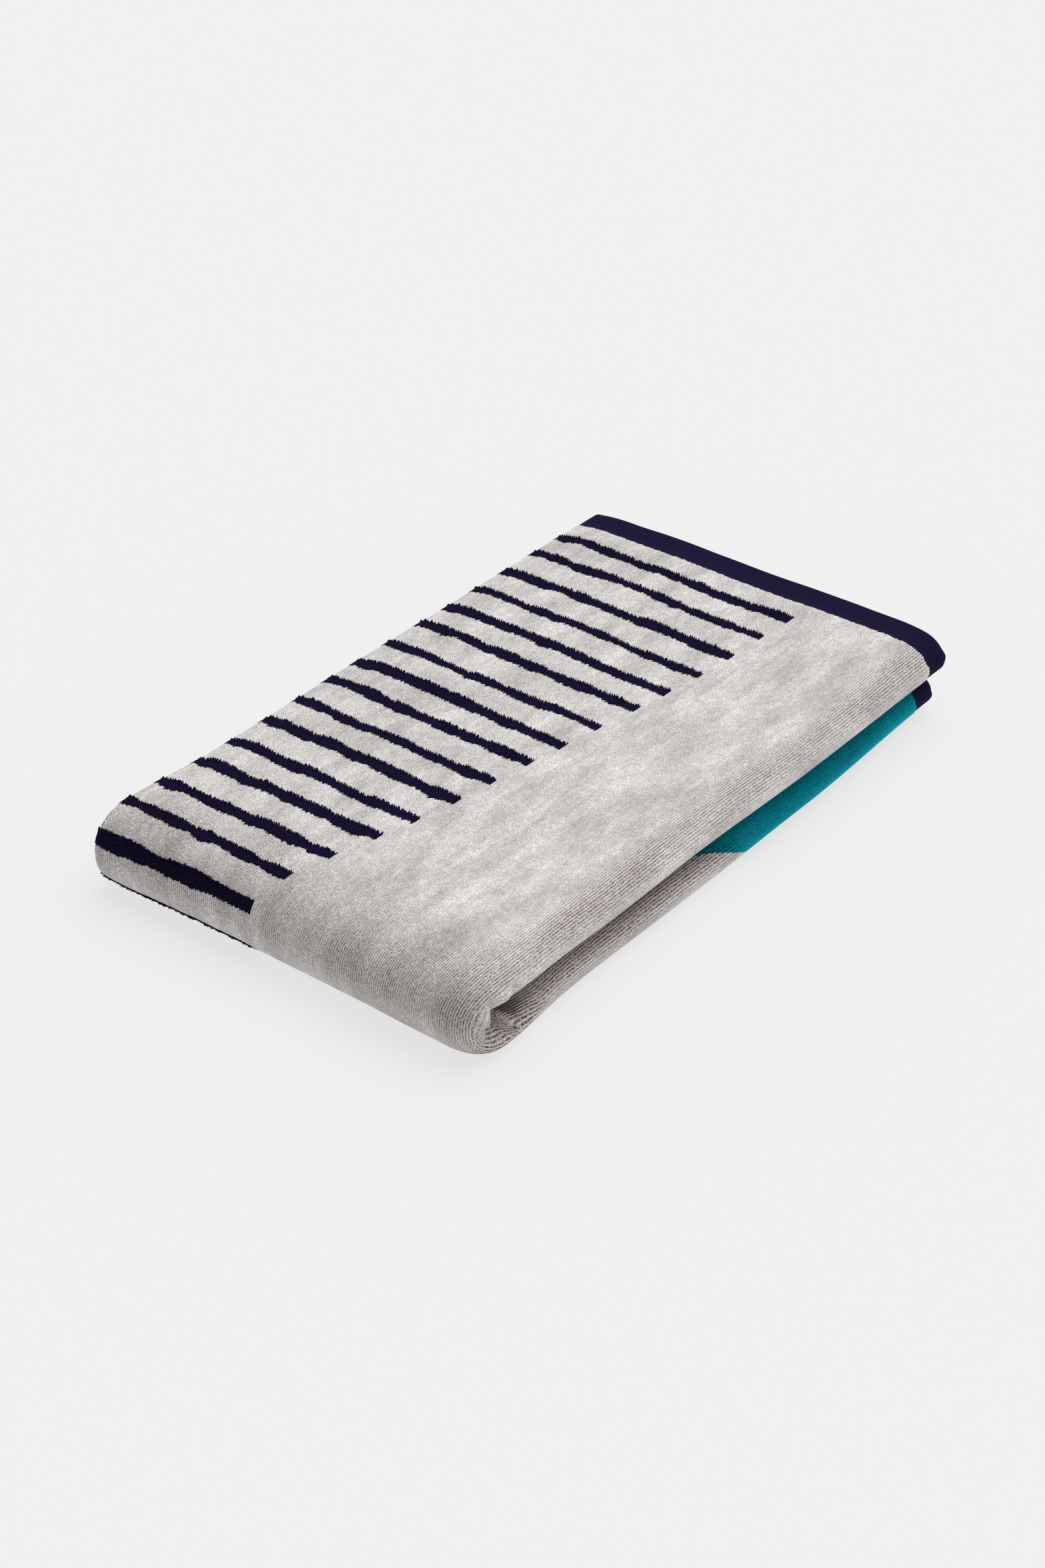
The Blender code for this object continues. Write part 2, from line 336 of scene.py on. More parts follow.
@dataclass
class FoldShape:
    """The sizes of the folded towel and the way from cloth coordinates to places in the frame.

    Attributes:
        layers: Layers in each half.
        pile_thickness: Thickness of the cloth with its pile.
        hem_thickness: Thickness of a turned hem.
        layer_gap: The gap between two layers.
        width: The plain folded width.
        length: The plain folded length.
        hem_width: Width of a hem.
        nose_reach: How far the nose stands out beyond the straight layers, on its outside.
        nose_inner_reach: The same on its inside.
        nose_length: Length of the path round the nose.
        nose_upper_power: How square the nose's upper half is: 2 is an ellipse.
        nose_lower_power: How square its lower half is.
        nose_pinch: How far the nose is drawn in at its ends.
        outer_wrap: The turn of the outermost layers.
        middle_wrap: The turn of the second and fifth layers.
        inner_wrap: The turn of the third and fourth layers.
        left_fold: The tight folds along the hidden edge.
        third_layer_edge: Where the third layer's free edge lies, from the hidden edge.
        sixth_layer_edge: Where the sixth layer's free edge lies.
        soft_edge_width: How far from the hidden edge the halves thin out.
        soft_edge_most: How far beyond that edge the thinning runs on, as a share of its width and 1.
        half_gap: Half the gap between the two halves.
        corner_half_gap: How much it grows at the near corner.
        corner_squeeze: Share by which both halves are thinner there.
        corner_length: Length of the near corner.
        corner_width: Width of the near corner.
        hem_end_length: Length in which the layers slip to their own ends.
        hem_end_most: How far beyond the plain end the slip runs on.
        layer_shortfalls: How far each layer stops short of the hem end, from the first to the sixth.
        along: How far the long edges stand out and how thick the halves are, along the length.
        across: How far the nose and the hem ends stand out, across the width.
        swells: Soft rises and dips of the upper face.
        buckles: Buckles of the upper half's lip near the nose.
        pleat: The pleat in the lower half's side there.
        soft_side: Width of the long side on which buckles and pleat act.
        near_inner_reach: How far the nose's inside stands out at the near corner.
        soft_rise: How strong the faint unevenness of the upper face is.
        clouds: The faint unevenness, which is two layers of noise.
        origin: Where the plain nose's middle lies in the frame.
    """

    layers: int = 6
    pile_thickness: float = 4.1 * MM
    hem_thickness: float = 3.2 * MM
    layer_gap: float = 0.45 * MM
    width: float = 0.30
    length: float = 0.50
    hem_width: float = 22.5 * MM
    nose_reach: float = 29 * MM
    nose_inner_reach: float = 2 * MM
    nose_length: float = 90 * MM
    nose_upper_power: float = 2.25
    nose_lower_power: float = 2.35
    nose_pinch: float = 6 * MM
    outer_wrap: Wrap = Wrap(273 * MM, 25 * MM, 2.2)
    middle_wrap: Wrap = Wrap(273 * MM, 15 * MM, 2.2)
    inner_wrap: Wrap = Wrap(276 * MM, 2.275 * MM, 2.0)
    left_fold: Wrap = Wrap(4.5 * MM, -2.275 * MM, 2.0)
    third_layer_edge: float = 12 * MM
    sixth_layer_edge: float = 9 * MM
    soft_edge_width: float = 35 * MM
    soft_edge_most: float = 1.5
    half_gap: float = 0.8 * MM
    corner_half_gap: float = 2.5 * MM
    corner_squeeze: float = 0.07
    corner_length: float = 0.18
    corner_width: float = 0.07
    hem_end_length: float = 0.12
    hem_end_most: float = 1.1
    layer_shortfalls: tuple[float, ...] = (0.0, 2.2 * MM, 1.4 * MM, 3.0 * MM, 1.9 * MM, 0.8 * MM)
    along: dict[str, tuple[float, ...]] = field(
        default_factory=lambda: {
            "along": (0.03, 0.10, 0.22, 0.34, 0.50),
            "upper_shown_edge": (0.001, 0.000, -0.0015, 0.0005, 0.000),
            "lower_shown_edge": (0.002, -0.0025, -0.0015, -0.0025, -0.008),
            "upper_hidden_edge": (0.002, -0.001, -0.0005, -0.0015, -0.0025),
            "lower_hidden_edge": (0.002, 0.001, 0.002, 0.001, 0.000),
            "upper_thickness": (0.99, 0.995, 1.00, 0.99, 1.01),
            "lower_thickness": (0.985, 0.995, 1.005, 0.995, 1.01),
            "soft_edge": (0.03, 0.125, 0.12, 0.13, 0.13),
        }
    )
    across: dict[str, tuple[float, ...]] = field(
        default_factory=lambda: {
            "across": (0.00, 0.10, 0.20, 0.26, 0.30),
            "nose": (0.0030, 0.000, 0.000, 0.0015, 0.003),
            "upper_hem_end": (0.0015, 0.004, 0.003, 0.003, 0.000),
            "lower_hem_end": (0.000, 0.000, 0.000, 0.000, 0.000),
        }
    )
    swells: tuple[Swell, ...] = (
        Swell(0.09, 0.25, 0.08, 0.04, 1.0 * MM),
        Swell(0.20, 0.12, 0.10, 0.07, -0.8 * MM),
        Swell(0.33, 0.22, 0.09, 0.05, 1.0 * MM),
        Swell(0.42, 0.08, 0.10, 0.07, 0.7 * MM),
        Swell(0.48, 0.24, 0.14, 0.10, 2.0 * MM),
    )
    buckles: tuple[Buckle, ...] = (
        Buckle(9 * MM, 13.0 * MM, 19 * MM, 7 * MM, 5.2 * MM, -4.0 * MM),
        Buckle(41 * MM, 13.5 * MM, 10 * MM, 6 * MM, 1.8 * MM, -0.8 * MM),
        Buckle(66 * MM, 13.5 * MM, 16 * MM, 6 * MM, 1.2 * MM, -0.8 * MM),
        Buckle(51 * MM, 12.5 * MM, 4.5 * MM, 7 * MM, -3.4 * MM, 1.8 * MM),
        Buckle(30 * MM, 12.0 * MM, 5.5 * MM, 7 * MM, -3.8 * MM, 2.2 * MM),
    )
    pleat: Pleat = Pleat()
    soft_side: float = 68 * MM
    near_inner_reach: float = 12 * MM
    soft_rise: float = 0.45 * MM
    clouds: tuple[SoftNoise, ...] = (SoftNoise(5, 42 * MM, 36 * MM), SoftNoise(6, 90 * MM, 24 * MM))
    origin: tuple[float, float, float] = (0.0, 0.0, 0.0)

    @property
    def pitch(self) -> float:
        """Return the distance from one layer's middle to the next."""
        return self.pile_thickness + self.layer_gap

    @property
    def bundle_height(self) -> float:
        """Return the plain height of one bundle of layers."""
        return (self.layers - 1) * self.pitch + self.pile_thickness

    @property
    def straight_length(self) -> float:
        """Return the length of each half's straight layers."""
        return self.length - self.nose_reach

    @property
    def path_end(self) -> float:
        """Return the path coordinate of the upper hem end; the lower one is its negative."""
        return self.nose_length / 2 + self.straight_length

    def layer_height(self, layer: int) -> float:
        """Return the height of a layer's middle above the bundle's inner face."""
        return self.pile_thickness / 2 + (self.layers - layer) * self.pitch

    def eased(self, table: dict[str, tuple[float, ...]], key: str, place: Array, column: str) -> Array:
        """Return a table column's value at a place, eased between its rows.

        Args:
            table: The table.
            key: The column that holds the places.
            place: Where to read the table.
            column: The column to read.

        Returns:
            The value or values.
        """
        places, values = np.array(table[key]), np.array(table[column])
        index = np.clip(np.searchsorted(places, place) - 1, 0, len(places) - 2)
        share = ease((place - places[index]) / (places[index + 1] - places[index]))
        return values[index] * (1 - share) + values[index + 1] * share

    def _corner(self, along: Array, across: Array) -> Array:
        """Return how strongly the near corner opens, from 0 to 1."""
        return hill(along / self.corner_length) * hill((self.width - across) / self.corner_width)

    def _upper_scale(self, along: Array, across: Array) -> Array:
        """Return the upper bundle's thickness as a share of the plain one, with its rises and dips.

        Args:
            along: Places along the length.
            across: Places across the section.

        Returns:
            The shares.
        """
        rise = np.zeros(np.broadcast(along, across).shape)
        for swell in self.swells:
            near = hill((along - swell.along) / swell.half_length)
            rise = rise + swell.rise * near * hill((across - swell.across) / swell.half_width)
        rise = rise + self.soft_rise * sum(noise(along, across) for noise in self.clouds)
        plain = self.eased(self.along, "along", along, "upper_thickness")
        return plain - self.corner_squeeze * self._corner(along, across) + rise / self.bundle_height

    def _lower_scale(self, along: Array, across: Array) -> Array:
        """Return the lower bundle's thickness as a share of the plain one."""
        plain = self.eased(self.along, "along", along, "lower_thickness")
        return plain - self.corner_squeeze * self._corner(along, across)

    def _hem_step(self, along: Array, across: Array, height: Array, upper: Array) -> Array:
        """Return how far a point near the hem end stands out, with the bow of the end and uneven layers.

        Args:
            along: Places along the length.
            across: Places across the section.
            height: Heights above the bundle's inner face.
            upper: True in the upper half.

        Returns:
            The lengths by which the points stand out.
        """
        heights = [self.layer_height(layer) for layer in range(self.layers, 0, -1)]
        near = (along - self.length + self.hem_end_length) / self.hem_end_length
        near = np.clip(near, 0.0, self.hem_end_most)
        upper_bow = self.eased(self.across, "across", across, "upper_hem_end")
        lower_bow = self.eased(self.across, "across", across, "lower_hem_end")
        bow = np.where(upper, upper_bow, lower_bow)
        return (bow - np.interp(height, heights, self.layer_shortfalls[::-1])) * near * near

    def place(self, across: Array, height: Array, path: Array) -> Array:
        """Place points of the section along the sweep.

        Args:
            across: Places across the section, from the hidden edge, in metres.
            height: Heights above the bundle's inner face, in metres.
            path: Places along the sweep, in metres.

        Returns:
            An array of x, y and z rows, with x = 0 at the plain nose and y = 0 in the middle.
        """
        across, height, path = np.broadcast_arrays(across, height, path)
        height, across = self._buckled(across, height, path)
        upper = path > 0
        beyond = np.maximum(np.abs(path) - self.nose_length / 2, 0.0)
        along = self.nose_reach + beyond
        angle = np.clip(path / self.nose_length * math.pi, -math.pi / 2, math.pi / 2)
        gap = self.half_gap + self.corner_half_gap * self._corner(along, across)
        lower_scale = self._lower_scale(along, across)
        scale = np.where(upper, self._upper_scale(along, across), lower_scale)
        middle = self.bundle_height * lower_scale + gap
        thinned = np.clip(1.0 - across / self.soft_edge_width, 0.0, self.soft_edge_most)
        soft = 1.0 - self.eased(self.along, "along", along, "soft_edge") * thinned * thinned
        power = 2 / np.where(upper, self.nose_upper_power, self.nose_lower_power)
        cosine = np.where(beyond > 0, 0.0, np.abs(np.cos(angle)))
        outer_reach = self.nose_reach + self.eased(self.across, "across", across, "nose")
        near_side = self._near_side(across)
        inner = self.nose_inner_reach + (self.near_inner_reach - self.nose_inner_reach) * near_side
        reach = inner + (outer_reach - inner) * height / self.bundle_height * soft
        x = along - reach * cosine**power + self._hem_step(along, across, height, upper)
        z = middle + (gap + height * scale * soft) * np.sign(angle) * np.abs(np.sin(angle)) ** power
        upper_share = (1 + np.sin(angle)) / 2
        shown = self._edge("shown", along, upper_share) - self.nose_pinch * cosine**2
        hidden = self._edge("hidden", along, upper_share)
        wide = -hidden + across / self.width * (self.width + shown + hidden)
        wide = wide + near_side * self.pleat.push(x - self.nose_reach, height, path)
        return np.stack((x, self.width / 2 - wide, z), axis=-1) + self.origin

    def _near_side(self, across: Array) -> Array:
        """Return how near a place is to the long side that shows, from 0 to 1."""
        return ease((across - self.width + self.soft_side) / self.soft_side)

    def _edge(self, which: str, along: Array, upper_share: Array) -> Array:
        """Return how far the shown or hidden edge stands out, blended from lower to upper.

        Args:
            which: The edge, shown or hidden.
            along: Places along the length.
            upper_share: 0 in the lower half and 1 in the upper one, blended round the nose.

        Returns:
            The lengths by which the edge stands out.
        """
        upper = self.eased(self.along, "along", along, f"upper_{which}_edge")
        lower = self.eased(self.along, "along", along, f"lower_{which}_edge")
        return upper * upper_share + lower * (1 - upper_share)

    def _buckled(self, across: Array, height: Array, path: Array) -> tuple[Array, Array]:
        """Add the wrap's buckles near the nose.

        Args:
            across: Places across the section.
            height: Heights above the bundle's inner face.
            path: Places along the path.

        Returns:
            The heights and the places across.
        """
        near_wrap = self._near_side(across)
        push, lift = np.zeros(across.shape), np.zeros(across.shape)
        for buckle in self.buckles:
            near = hill((path - buckle.path) / buckle.half_path)
            near = near * hill((height - buckle.height) / buckle.half_height) * near_wrap
            push = push + buckle.push * near
            lift = lift + buckle.lift * near
        return height + lift, across + push


@dataclass
class Route:
    """The middle line of the section, read by its length from the sixth layer's free edge.

    Attributes:
        shape: The folded shape.
        step: How finely the line is laid.
        margin: How far it runs on beyond both free edges.
        bend_length: Length of a half round for each metre of its reach, which sets its number of steps.
        runs: Where each named run of the line starts and ends.
        points: The line's points, as across and height.
        lengths: How far along the line each point is.
        normals: The direction square to the line at each point, towards the face side.
    """

    shape: FoldShape
    step: float = 0.2 * MM
    margin: float = 5 * MM
    bend_length: float = 2.6
    runs: dict[str, Span] = field(init=False)
    points: Array = field(init=False)
    lengths: Array = field(init=False)
    normals: Array = field(init=False)

    def __post_init__(self) -> None:
        """Lay the line, and find its length and the direction square to it at every point."""
        parts = self._parts()
        self.points = np.concatenate(list(parts.values()))
        steps = np.linalg.norm(np.diff(self.points, axis=0), axis=1)
        self.lengths = np.concatenate(([0.0], np.cumsum(steps))) - self.margin
        tangents = np.gradient(self.points, axis=0)
        tangents /= np.linalg.norm(tangents, axis=1)[:, None]
        self.normals = np.column_stack((tangents[:, 1], -tangents[:, 0]))
        starts = np.cumsum([0] + [len(part) for part in parts.values()][:-1])
        edges = [0.0, *self.lengths[starts[1:]], self.total]
        self.runs = dict(zip(parts, zip(edges, edges[1:])))

    def _straight(self, start: float, end: float, layer: int) -> Array:
        """Return the middle of one straight layer, without its last point."""
        places = np.linspace(start, end, round(abs(end - start) / self.step), endpoint=False)
        return np.column_stack((places, np.full(len(places), self.shape.layer_height(layer))))

    def _bend(self, first: int, second: int, wrap: Wrap) -> Array:
        """Return the half round between two layers, without its last point.

        Args:
            first: The layer that it leaves.
            second: The layer that it reaches.
            wrap: Where it starts, and how far it reaches: minus towards the hidden edge.

        Returns:
            Rows of across and height.
        """
        start, end = self.shape.layer_height(first), self.shape.layer_height(second)
        middle, half = (start + end) / 2, (end - start) / 2
        count = round(self.bend_length * max(abs(wrap.reach), abs(half)) / self.step)
        angles = math.pi * (np.arange(count) / count - 0.5)
        out = np.abs(np.cos(angles)) ** (2 / wrap.power) * wrap.reach
        up = np.sign(angles) * np.abs(np.sin(angles)) ** (2 / wrap.power) * half
        return np.column_stack((wrap.centre + out, middle + up))

    def _parts(self) -> dict[str, Array]:
        """Lay the back-and-forth line, run by run.

        Returns:
            The points of each run by its name, from the sixth layer to the third.
        """
        shape = self.shape
        fold, start, end = shape.left_fold, shape.outer_wrap.centre, shape.inner_wrap.centre
        return {
            "layer 6": self._straight(shape.sixth_layer_edge - self.margin, start, 6),
            "outer wrap": self._bend(6, 1, shape.outer_wrap),
            "layer 1": self._straight(start, fold.centre, 1),
            "first fold": self._bend(1, 2, fold),
            "layer 2": self._straight(fold.centre, start, 2),
            "middle wrap": self._bend(2, 5, shape.middle_wrap),
            "layer 5": self._straight(start, fold.centre, 5),
            "second fold": self._bend(5, 4, fold),
            "layer 4": self._straight(fold.centre, end, 4),
            "inner wrap": self._bend(4, 3, shape.inner_wrap),
            "layer 3": self._straight(end, shape.third_layer_edge - self.margin, 3),
        }

    @property
    def total(self) -> float:
        """Return the line's length between the two free edges."""
        return float(self.lengths[-1]) - self.margin

    def at(self, route: Array, offset: Array) -> tuple[Array, Array]:
        """Return across and height at a distance from the line.

        Args:
            route: Lengths along the line.
            offset: Distance from the line, plus on the face side.

        Returns:
            Places across and heights.
        """
        read = [np.interp(route, self.lengths, column) for column in (*self.points.T, *self.normals.T)]
        across, height, out, up = read
        size = np.hypot(out, up)
        return across + offset * out / size, height + offset * up / size


# ---------------------------------------------------------------------------------------------------------
# The pile
# ---------------------------------------------------------------------------------------------------------


@dataclass(frozen=True)
class Ribs:
    """The ribs of the pile: ridges that run along the path, side by side along the route.

    Attributes:
        pitch: From one rib to the next; a velour loom of about 15 dents to the inch gives 1.65 mm.
        closed_height: Crest to groove where the cloth lies flat.
        open_height: Crest to groove where a fold pulls the pile open.
        drift: How far a rib wanders sideways.
        tooth: How far a rib's end stands out at the edge of a colour or a hem.
        uneven_tooth: How far that differs from rib to rib.
        crest_power: How broad the crests are: 1 is a plain wave, and less is broader.
        mean_crest: The crests' mean height, which the relief leaves out.
        middle_crest: The height of a crest at which its tooth neither stands out nor back.
        wander: The sideways wander's noise.
        random_ribs: After how many ribs their random values repeat.
    """

    pitch: float = 1.65 * MM
    closed_height: float = 0.05 * MM
    open_height: float = 0.36 * MM
    drift: float = 0.5 * MM
    tooth: float = 0.5 * MM
    uneven_tooth: float = 0.35 * MM
    crest_power: float = 0.7
    mean_crest: float = 0.62
    middle_crest: float = 0.5
    wander: SoftNoise = SoftNoise(11, 45 * MM, 70 * MM)
    random_ribs: int = 1024

    def crest(self, route: Array) -> Array:
        """Return the rib's section: 1 at a crest and 0 at a groove, with broad crests."""
        return (0.5 + 0.5 * np.cos(2 * math.pi * route / self.pitch)) ** self.crest_power

    def relief(self, route: Array, opening_and_shade: Array) -> Array:
        """Return how far the pile stands above or below its mean face."""
        height = self.closed_height + (self.open_height - self.closed_height) * np.minimum(opening_and_shade, 1.0)
        return (self.crest(route) - self.mean_crest) * height

    def drifted(self, route: Array, path: Array) -> Array:
        """Return the route of a rib with its sideways wander."""
        return route + self.drift * self.wander(route, path)

    def uneven(self, route: Array, seed: int) -> Array:
        """Return a random value from -1 to 1 that is the same all over one rib."""
        values = np.random.default_rng(seed).uniform(-1.0, 1.0, self.random_ribs)
        return values[np.round(route / self.pitch).astype(int) % len(values)]

    def teeth(self, route: Array, seed: int) -> Array:
        """Return how far the rib ends stand out along the path at an edge."""
        plain = self.tooth * (self.crest(route) - self.middle_crest)
        return plain + self.uneven_tooth * self.uneven(route, seed)


@dataclass(frozen=True)
class TealField:
    """The teal part of the lower half. Its edge with the grey slants round the outer wrap.

    Attributes:
        line: The section's middle line.
        at_mouth: The edge's path where the wrap faces the upper half.
        at_floor: The edge's path from the wrap's widest part down to the floor.
        slant_share: Share of the wrap on which the edge slants.
        blend: How far from the edge the cloth's stations slant with it.
    """

    line: Route
    at_mouth: float = -205 * MM
    at_floor: float = -287 * MM
    slant_share: float = 0.55
    blend: float = 150 * MM

    @property
    def middle(self) -> float:
        """Return the edge's middle path."""
        return (self.at_mouth + self.at_floor) / 2

    def edge(self, route: Array) -> Array:
        """Return the path of the teal's edge.

        Args:
            route: Places round the section.

        Returns:
            The path of the edge at each place.
        """
        start, end = self.line.runs["outer wrap"]
        share = np.clip((route - start) / (end - start) / self.slant_share, 0.0, 1.0)
        return self.at_mouth + (self.at_floor - self.at_mouth) * share


@dataclass(frozen=True)
class PocketShadow:
    """Painted shadow in the pocket beside the pleat's crest: the pile opens so far there that the ribs take
    the dark depth colour, in place of the shade of the lip and the recess.

    Attributes:
        from_wrap: Its middle round the outer wrap, from the wrap's end.
        half_width: Half its width round the wrap.
        start: Where it starts along the path, at its middle.
        slant: How far that moves towards the hems for each metre round the wrap.
        turn: How suddenly it starts.
        length: How slowly it fades towards the hems.
        strength: How much further the pile opens in it, which sets how dark the painted shadow is.
    """

    from_wrap: float = -41 * MM
    half_width: float = 17 * MM
    start: float = -49.5 * MM
    slant: float = 0.8
    turn: float = 3 * MM
    length: float = 24 * MM
    strength: float = 1.1

    def shade(self, from_wrap: Array, path: Array) -> Array:
        """Return how much further the pile opens in the pocket, to paint its shadow.

        Args:
            from_wrap: Places round the outer wrap, from its end.
            path: Places along the path.

        Returns:
            The added opening.
        """
        behind = self.start - self.slant * (from_wrap - self.from_wrap) - path
        inside = ease(behind / self.turn) * (1 - ease((behind - self.turn) / self.length))
        return self.strength * inside * hill((from_wrap - self.from_wrap) / self.half_width)


@dataclass
class PileOpeningAndShade:
    """How far the pile parts between its ribs, with painted shade: 0 where it lies closed, 1 where a fold
    pulls it open.

    The tables go by the distance from the end of the outer wrap: minus round the wrap, plus on the first
    layer. There is one for each half and one for each half of the nose. Their values are also set higher
    where the cloth lies in shade, on the lower half's side and on the nose, so that the darker grooves and
    face there are painted shade. Above 1, in the mouth of the fold and in the pocket beside the pleat, the
    ribs themselves take the dark depth colour: painted shadow of the upper half's lip and of the recess.

    Attributes:
        line: The section's middle line.
        teal: The teal part of the lower half.
        upper: The opening in the upper half.
        lower: The opening in the lower half.
        upper_nose: The opening in the upper half of the nose.
        lower_nose: The opening in the lower half of the nose.
        nose_blend: Where along the path the nose's tables give way to the others.
        nose_turn: Length of the path in which the lower half gives way to the upper one.
        flap_path: Where the flap under the lip's end starts along the path.
        flap_share: Share of the lower half's opening that is left on the flap.
        pocket: The painted shadow in the pocket beside the pleat's crest.
        most: The widest opening.
        uneven: Share by which the opening differs from place to place.
        clouds: The noise by which it differs.
        teal_share: Share of the opening that is left in the teal part, whose pile is denser.
        teal_blend: Length in which that sets in.
    """

    line: Route
    teal: TealField
    upper: dict[str, tuple[float, ...]] = field(
        default_factory=lambda: {
            "from_wrap": (
                -0.062, -0.045, -0.036, -0.029, -0.024, -0.018,
                -0.012, -0.005, 0.004, 0.015, 0.060, 0.280,
            ),
            "open": (0.50, 0.30, 0.08, 0.14, 0.38, 0.49, 0.40, 0.20, 0.12, 0.12, 0.10, 0.16),
        }
    )
    # Above 1 at the mouth, the lower half's values paint the shadow under the upper half's lip.
    lower: dict[str, tuple[float, ...]] = field(
        default_factory=lambda: {
            "from_wrap": (-0.062, -0.050, -0.042, -0.038, -0.033, -0.028, 0.000, 0.020),
            "open": (0.95, 1.10, 1.10, 0.92, 0.44, 0.24, 0.12, 0.05),
        }
    )
    upper_nose: dict[str, tuple[float, ...]] = field(
        default_factory=lambda: {
            "from_wrap": (
                -0.062, -0.045, -0.036, -0.028, -0.024, -0.010,
                0.010, 0.030, 0.060, 0.150, 0.280,
            ),
            "open": (0.90, 0.50, 0.12, 0.20, 0.54, 0.54, 0.44, 0.40, 0.37, 0.35, 0.35),
        }
    )
    # The high values at the mouth paint the shadow under the lip, beside the pleat.
    lower_nose: dict[str, tuple[float, ...]] = field(
        default_factory=lambda: {
            "from_wrap": (-0.062, -0.054, -0.044, -0.020, 0.010, 0.030, 0.060, 0.150, 0.280),
            "open": (1.30, 1.20, 1.00, 0.60, 0.44, 0.36, 0.33, 0.32, 0.32),
        }
    )
    nose_blend: Span = (42 * MM, 90 * MM)
    nose_turn: float = 12 * MM
    flap_path: float = -21 * MM
    flap_share: float = 0.6
    pocket: PocketShadow = PocketShadow()
    most: float = 1.8
    uneven: float = 0.35
    clouds: SoftNoise = SoftNoise(23, 18 * MM, 60 * MM)
    teal_share: float = 0.12
    teal_blend: float = 8 * MM

    def __call__(self, route: Array, path: Array) -> Array:
        """Return the opening at places on the cloth.

        Args:
            route: Places round the section.
            path: Places along the path.

        Returns:
            The opening, from 0 to the most.
        """
        from_wrap = route - self.line.runs["outer wrap"][1]
        tables = (self.upper, self.upper_nose, self.lower, self.lower_nose)
        read = [np.interp(from_wrap, table["from_wrap"], table["open"]) for table in tables]
        start, end = self.nose_blend
        near_nose = 1 - ease((np.abs(path) - start) / (end - start))
        above = read[0] * (1 - near_nose) + read[1] * near_nose
        below = read[2] * (1 - near_nose) + read[3] * near_nose
        on_flap = ease((path - self.flap_path) / self.nose_turn + 0.5)
        below = below * (1 - (1 - self.flap_share) * on_flap)
        over = ease(path / self.nose_turn + 0.5)
        # The pocket's painted shadow is added to the opening here.
        opening = above * over + below * (1 - over) + self.pocket.shade(from_wrap, path)
        in_teal = ease((self.teal.edge(route) - path) / self.teal_blend)
        opening = opening * (1 - (1 - self.teal_share) * in_teal)
        return np.clip(opening * (1 + self.uneven * self.clouds(route, path)), 0.0, self.most)


class Face(Enum):
    """The finishes on the cloth, in the order of its material slots."""

    GREY_PILE = 0
    TEAL_PILE = 1
    HEM = 2


@dataclass(frozen=True)
class Station:
    """One place along the path where the section is set.

    Attributes:
        path: Its place along the path.
        half: Half the cloth's thickness there.
        toothed: How strongly the ends of the ribs move it, from 0 to 1.
        ribbed: How high the ribs stand there, from 0 to 1.
    """

    path: float
    half: float
    toothed: float = 0.0
    ribbed: float = 1.0


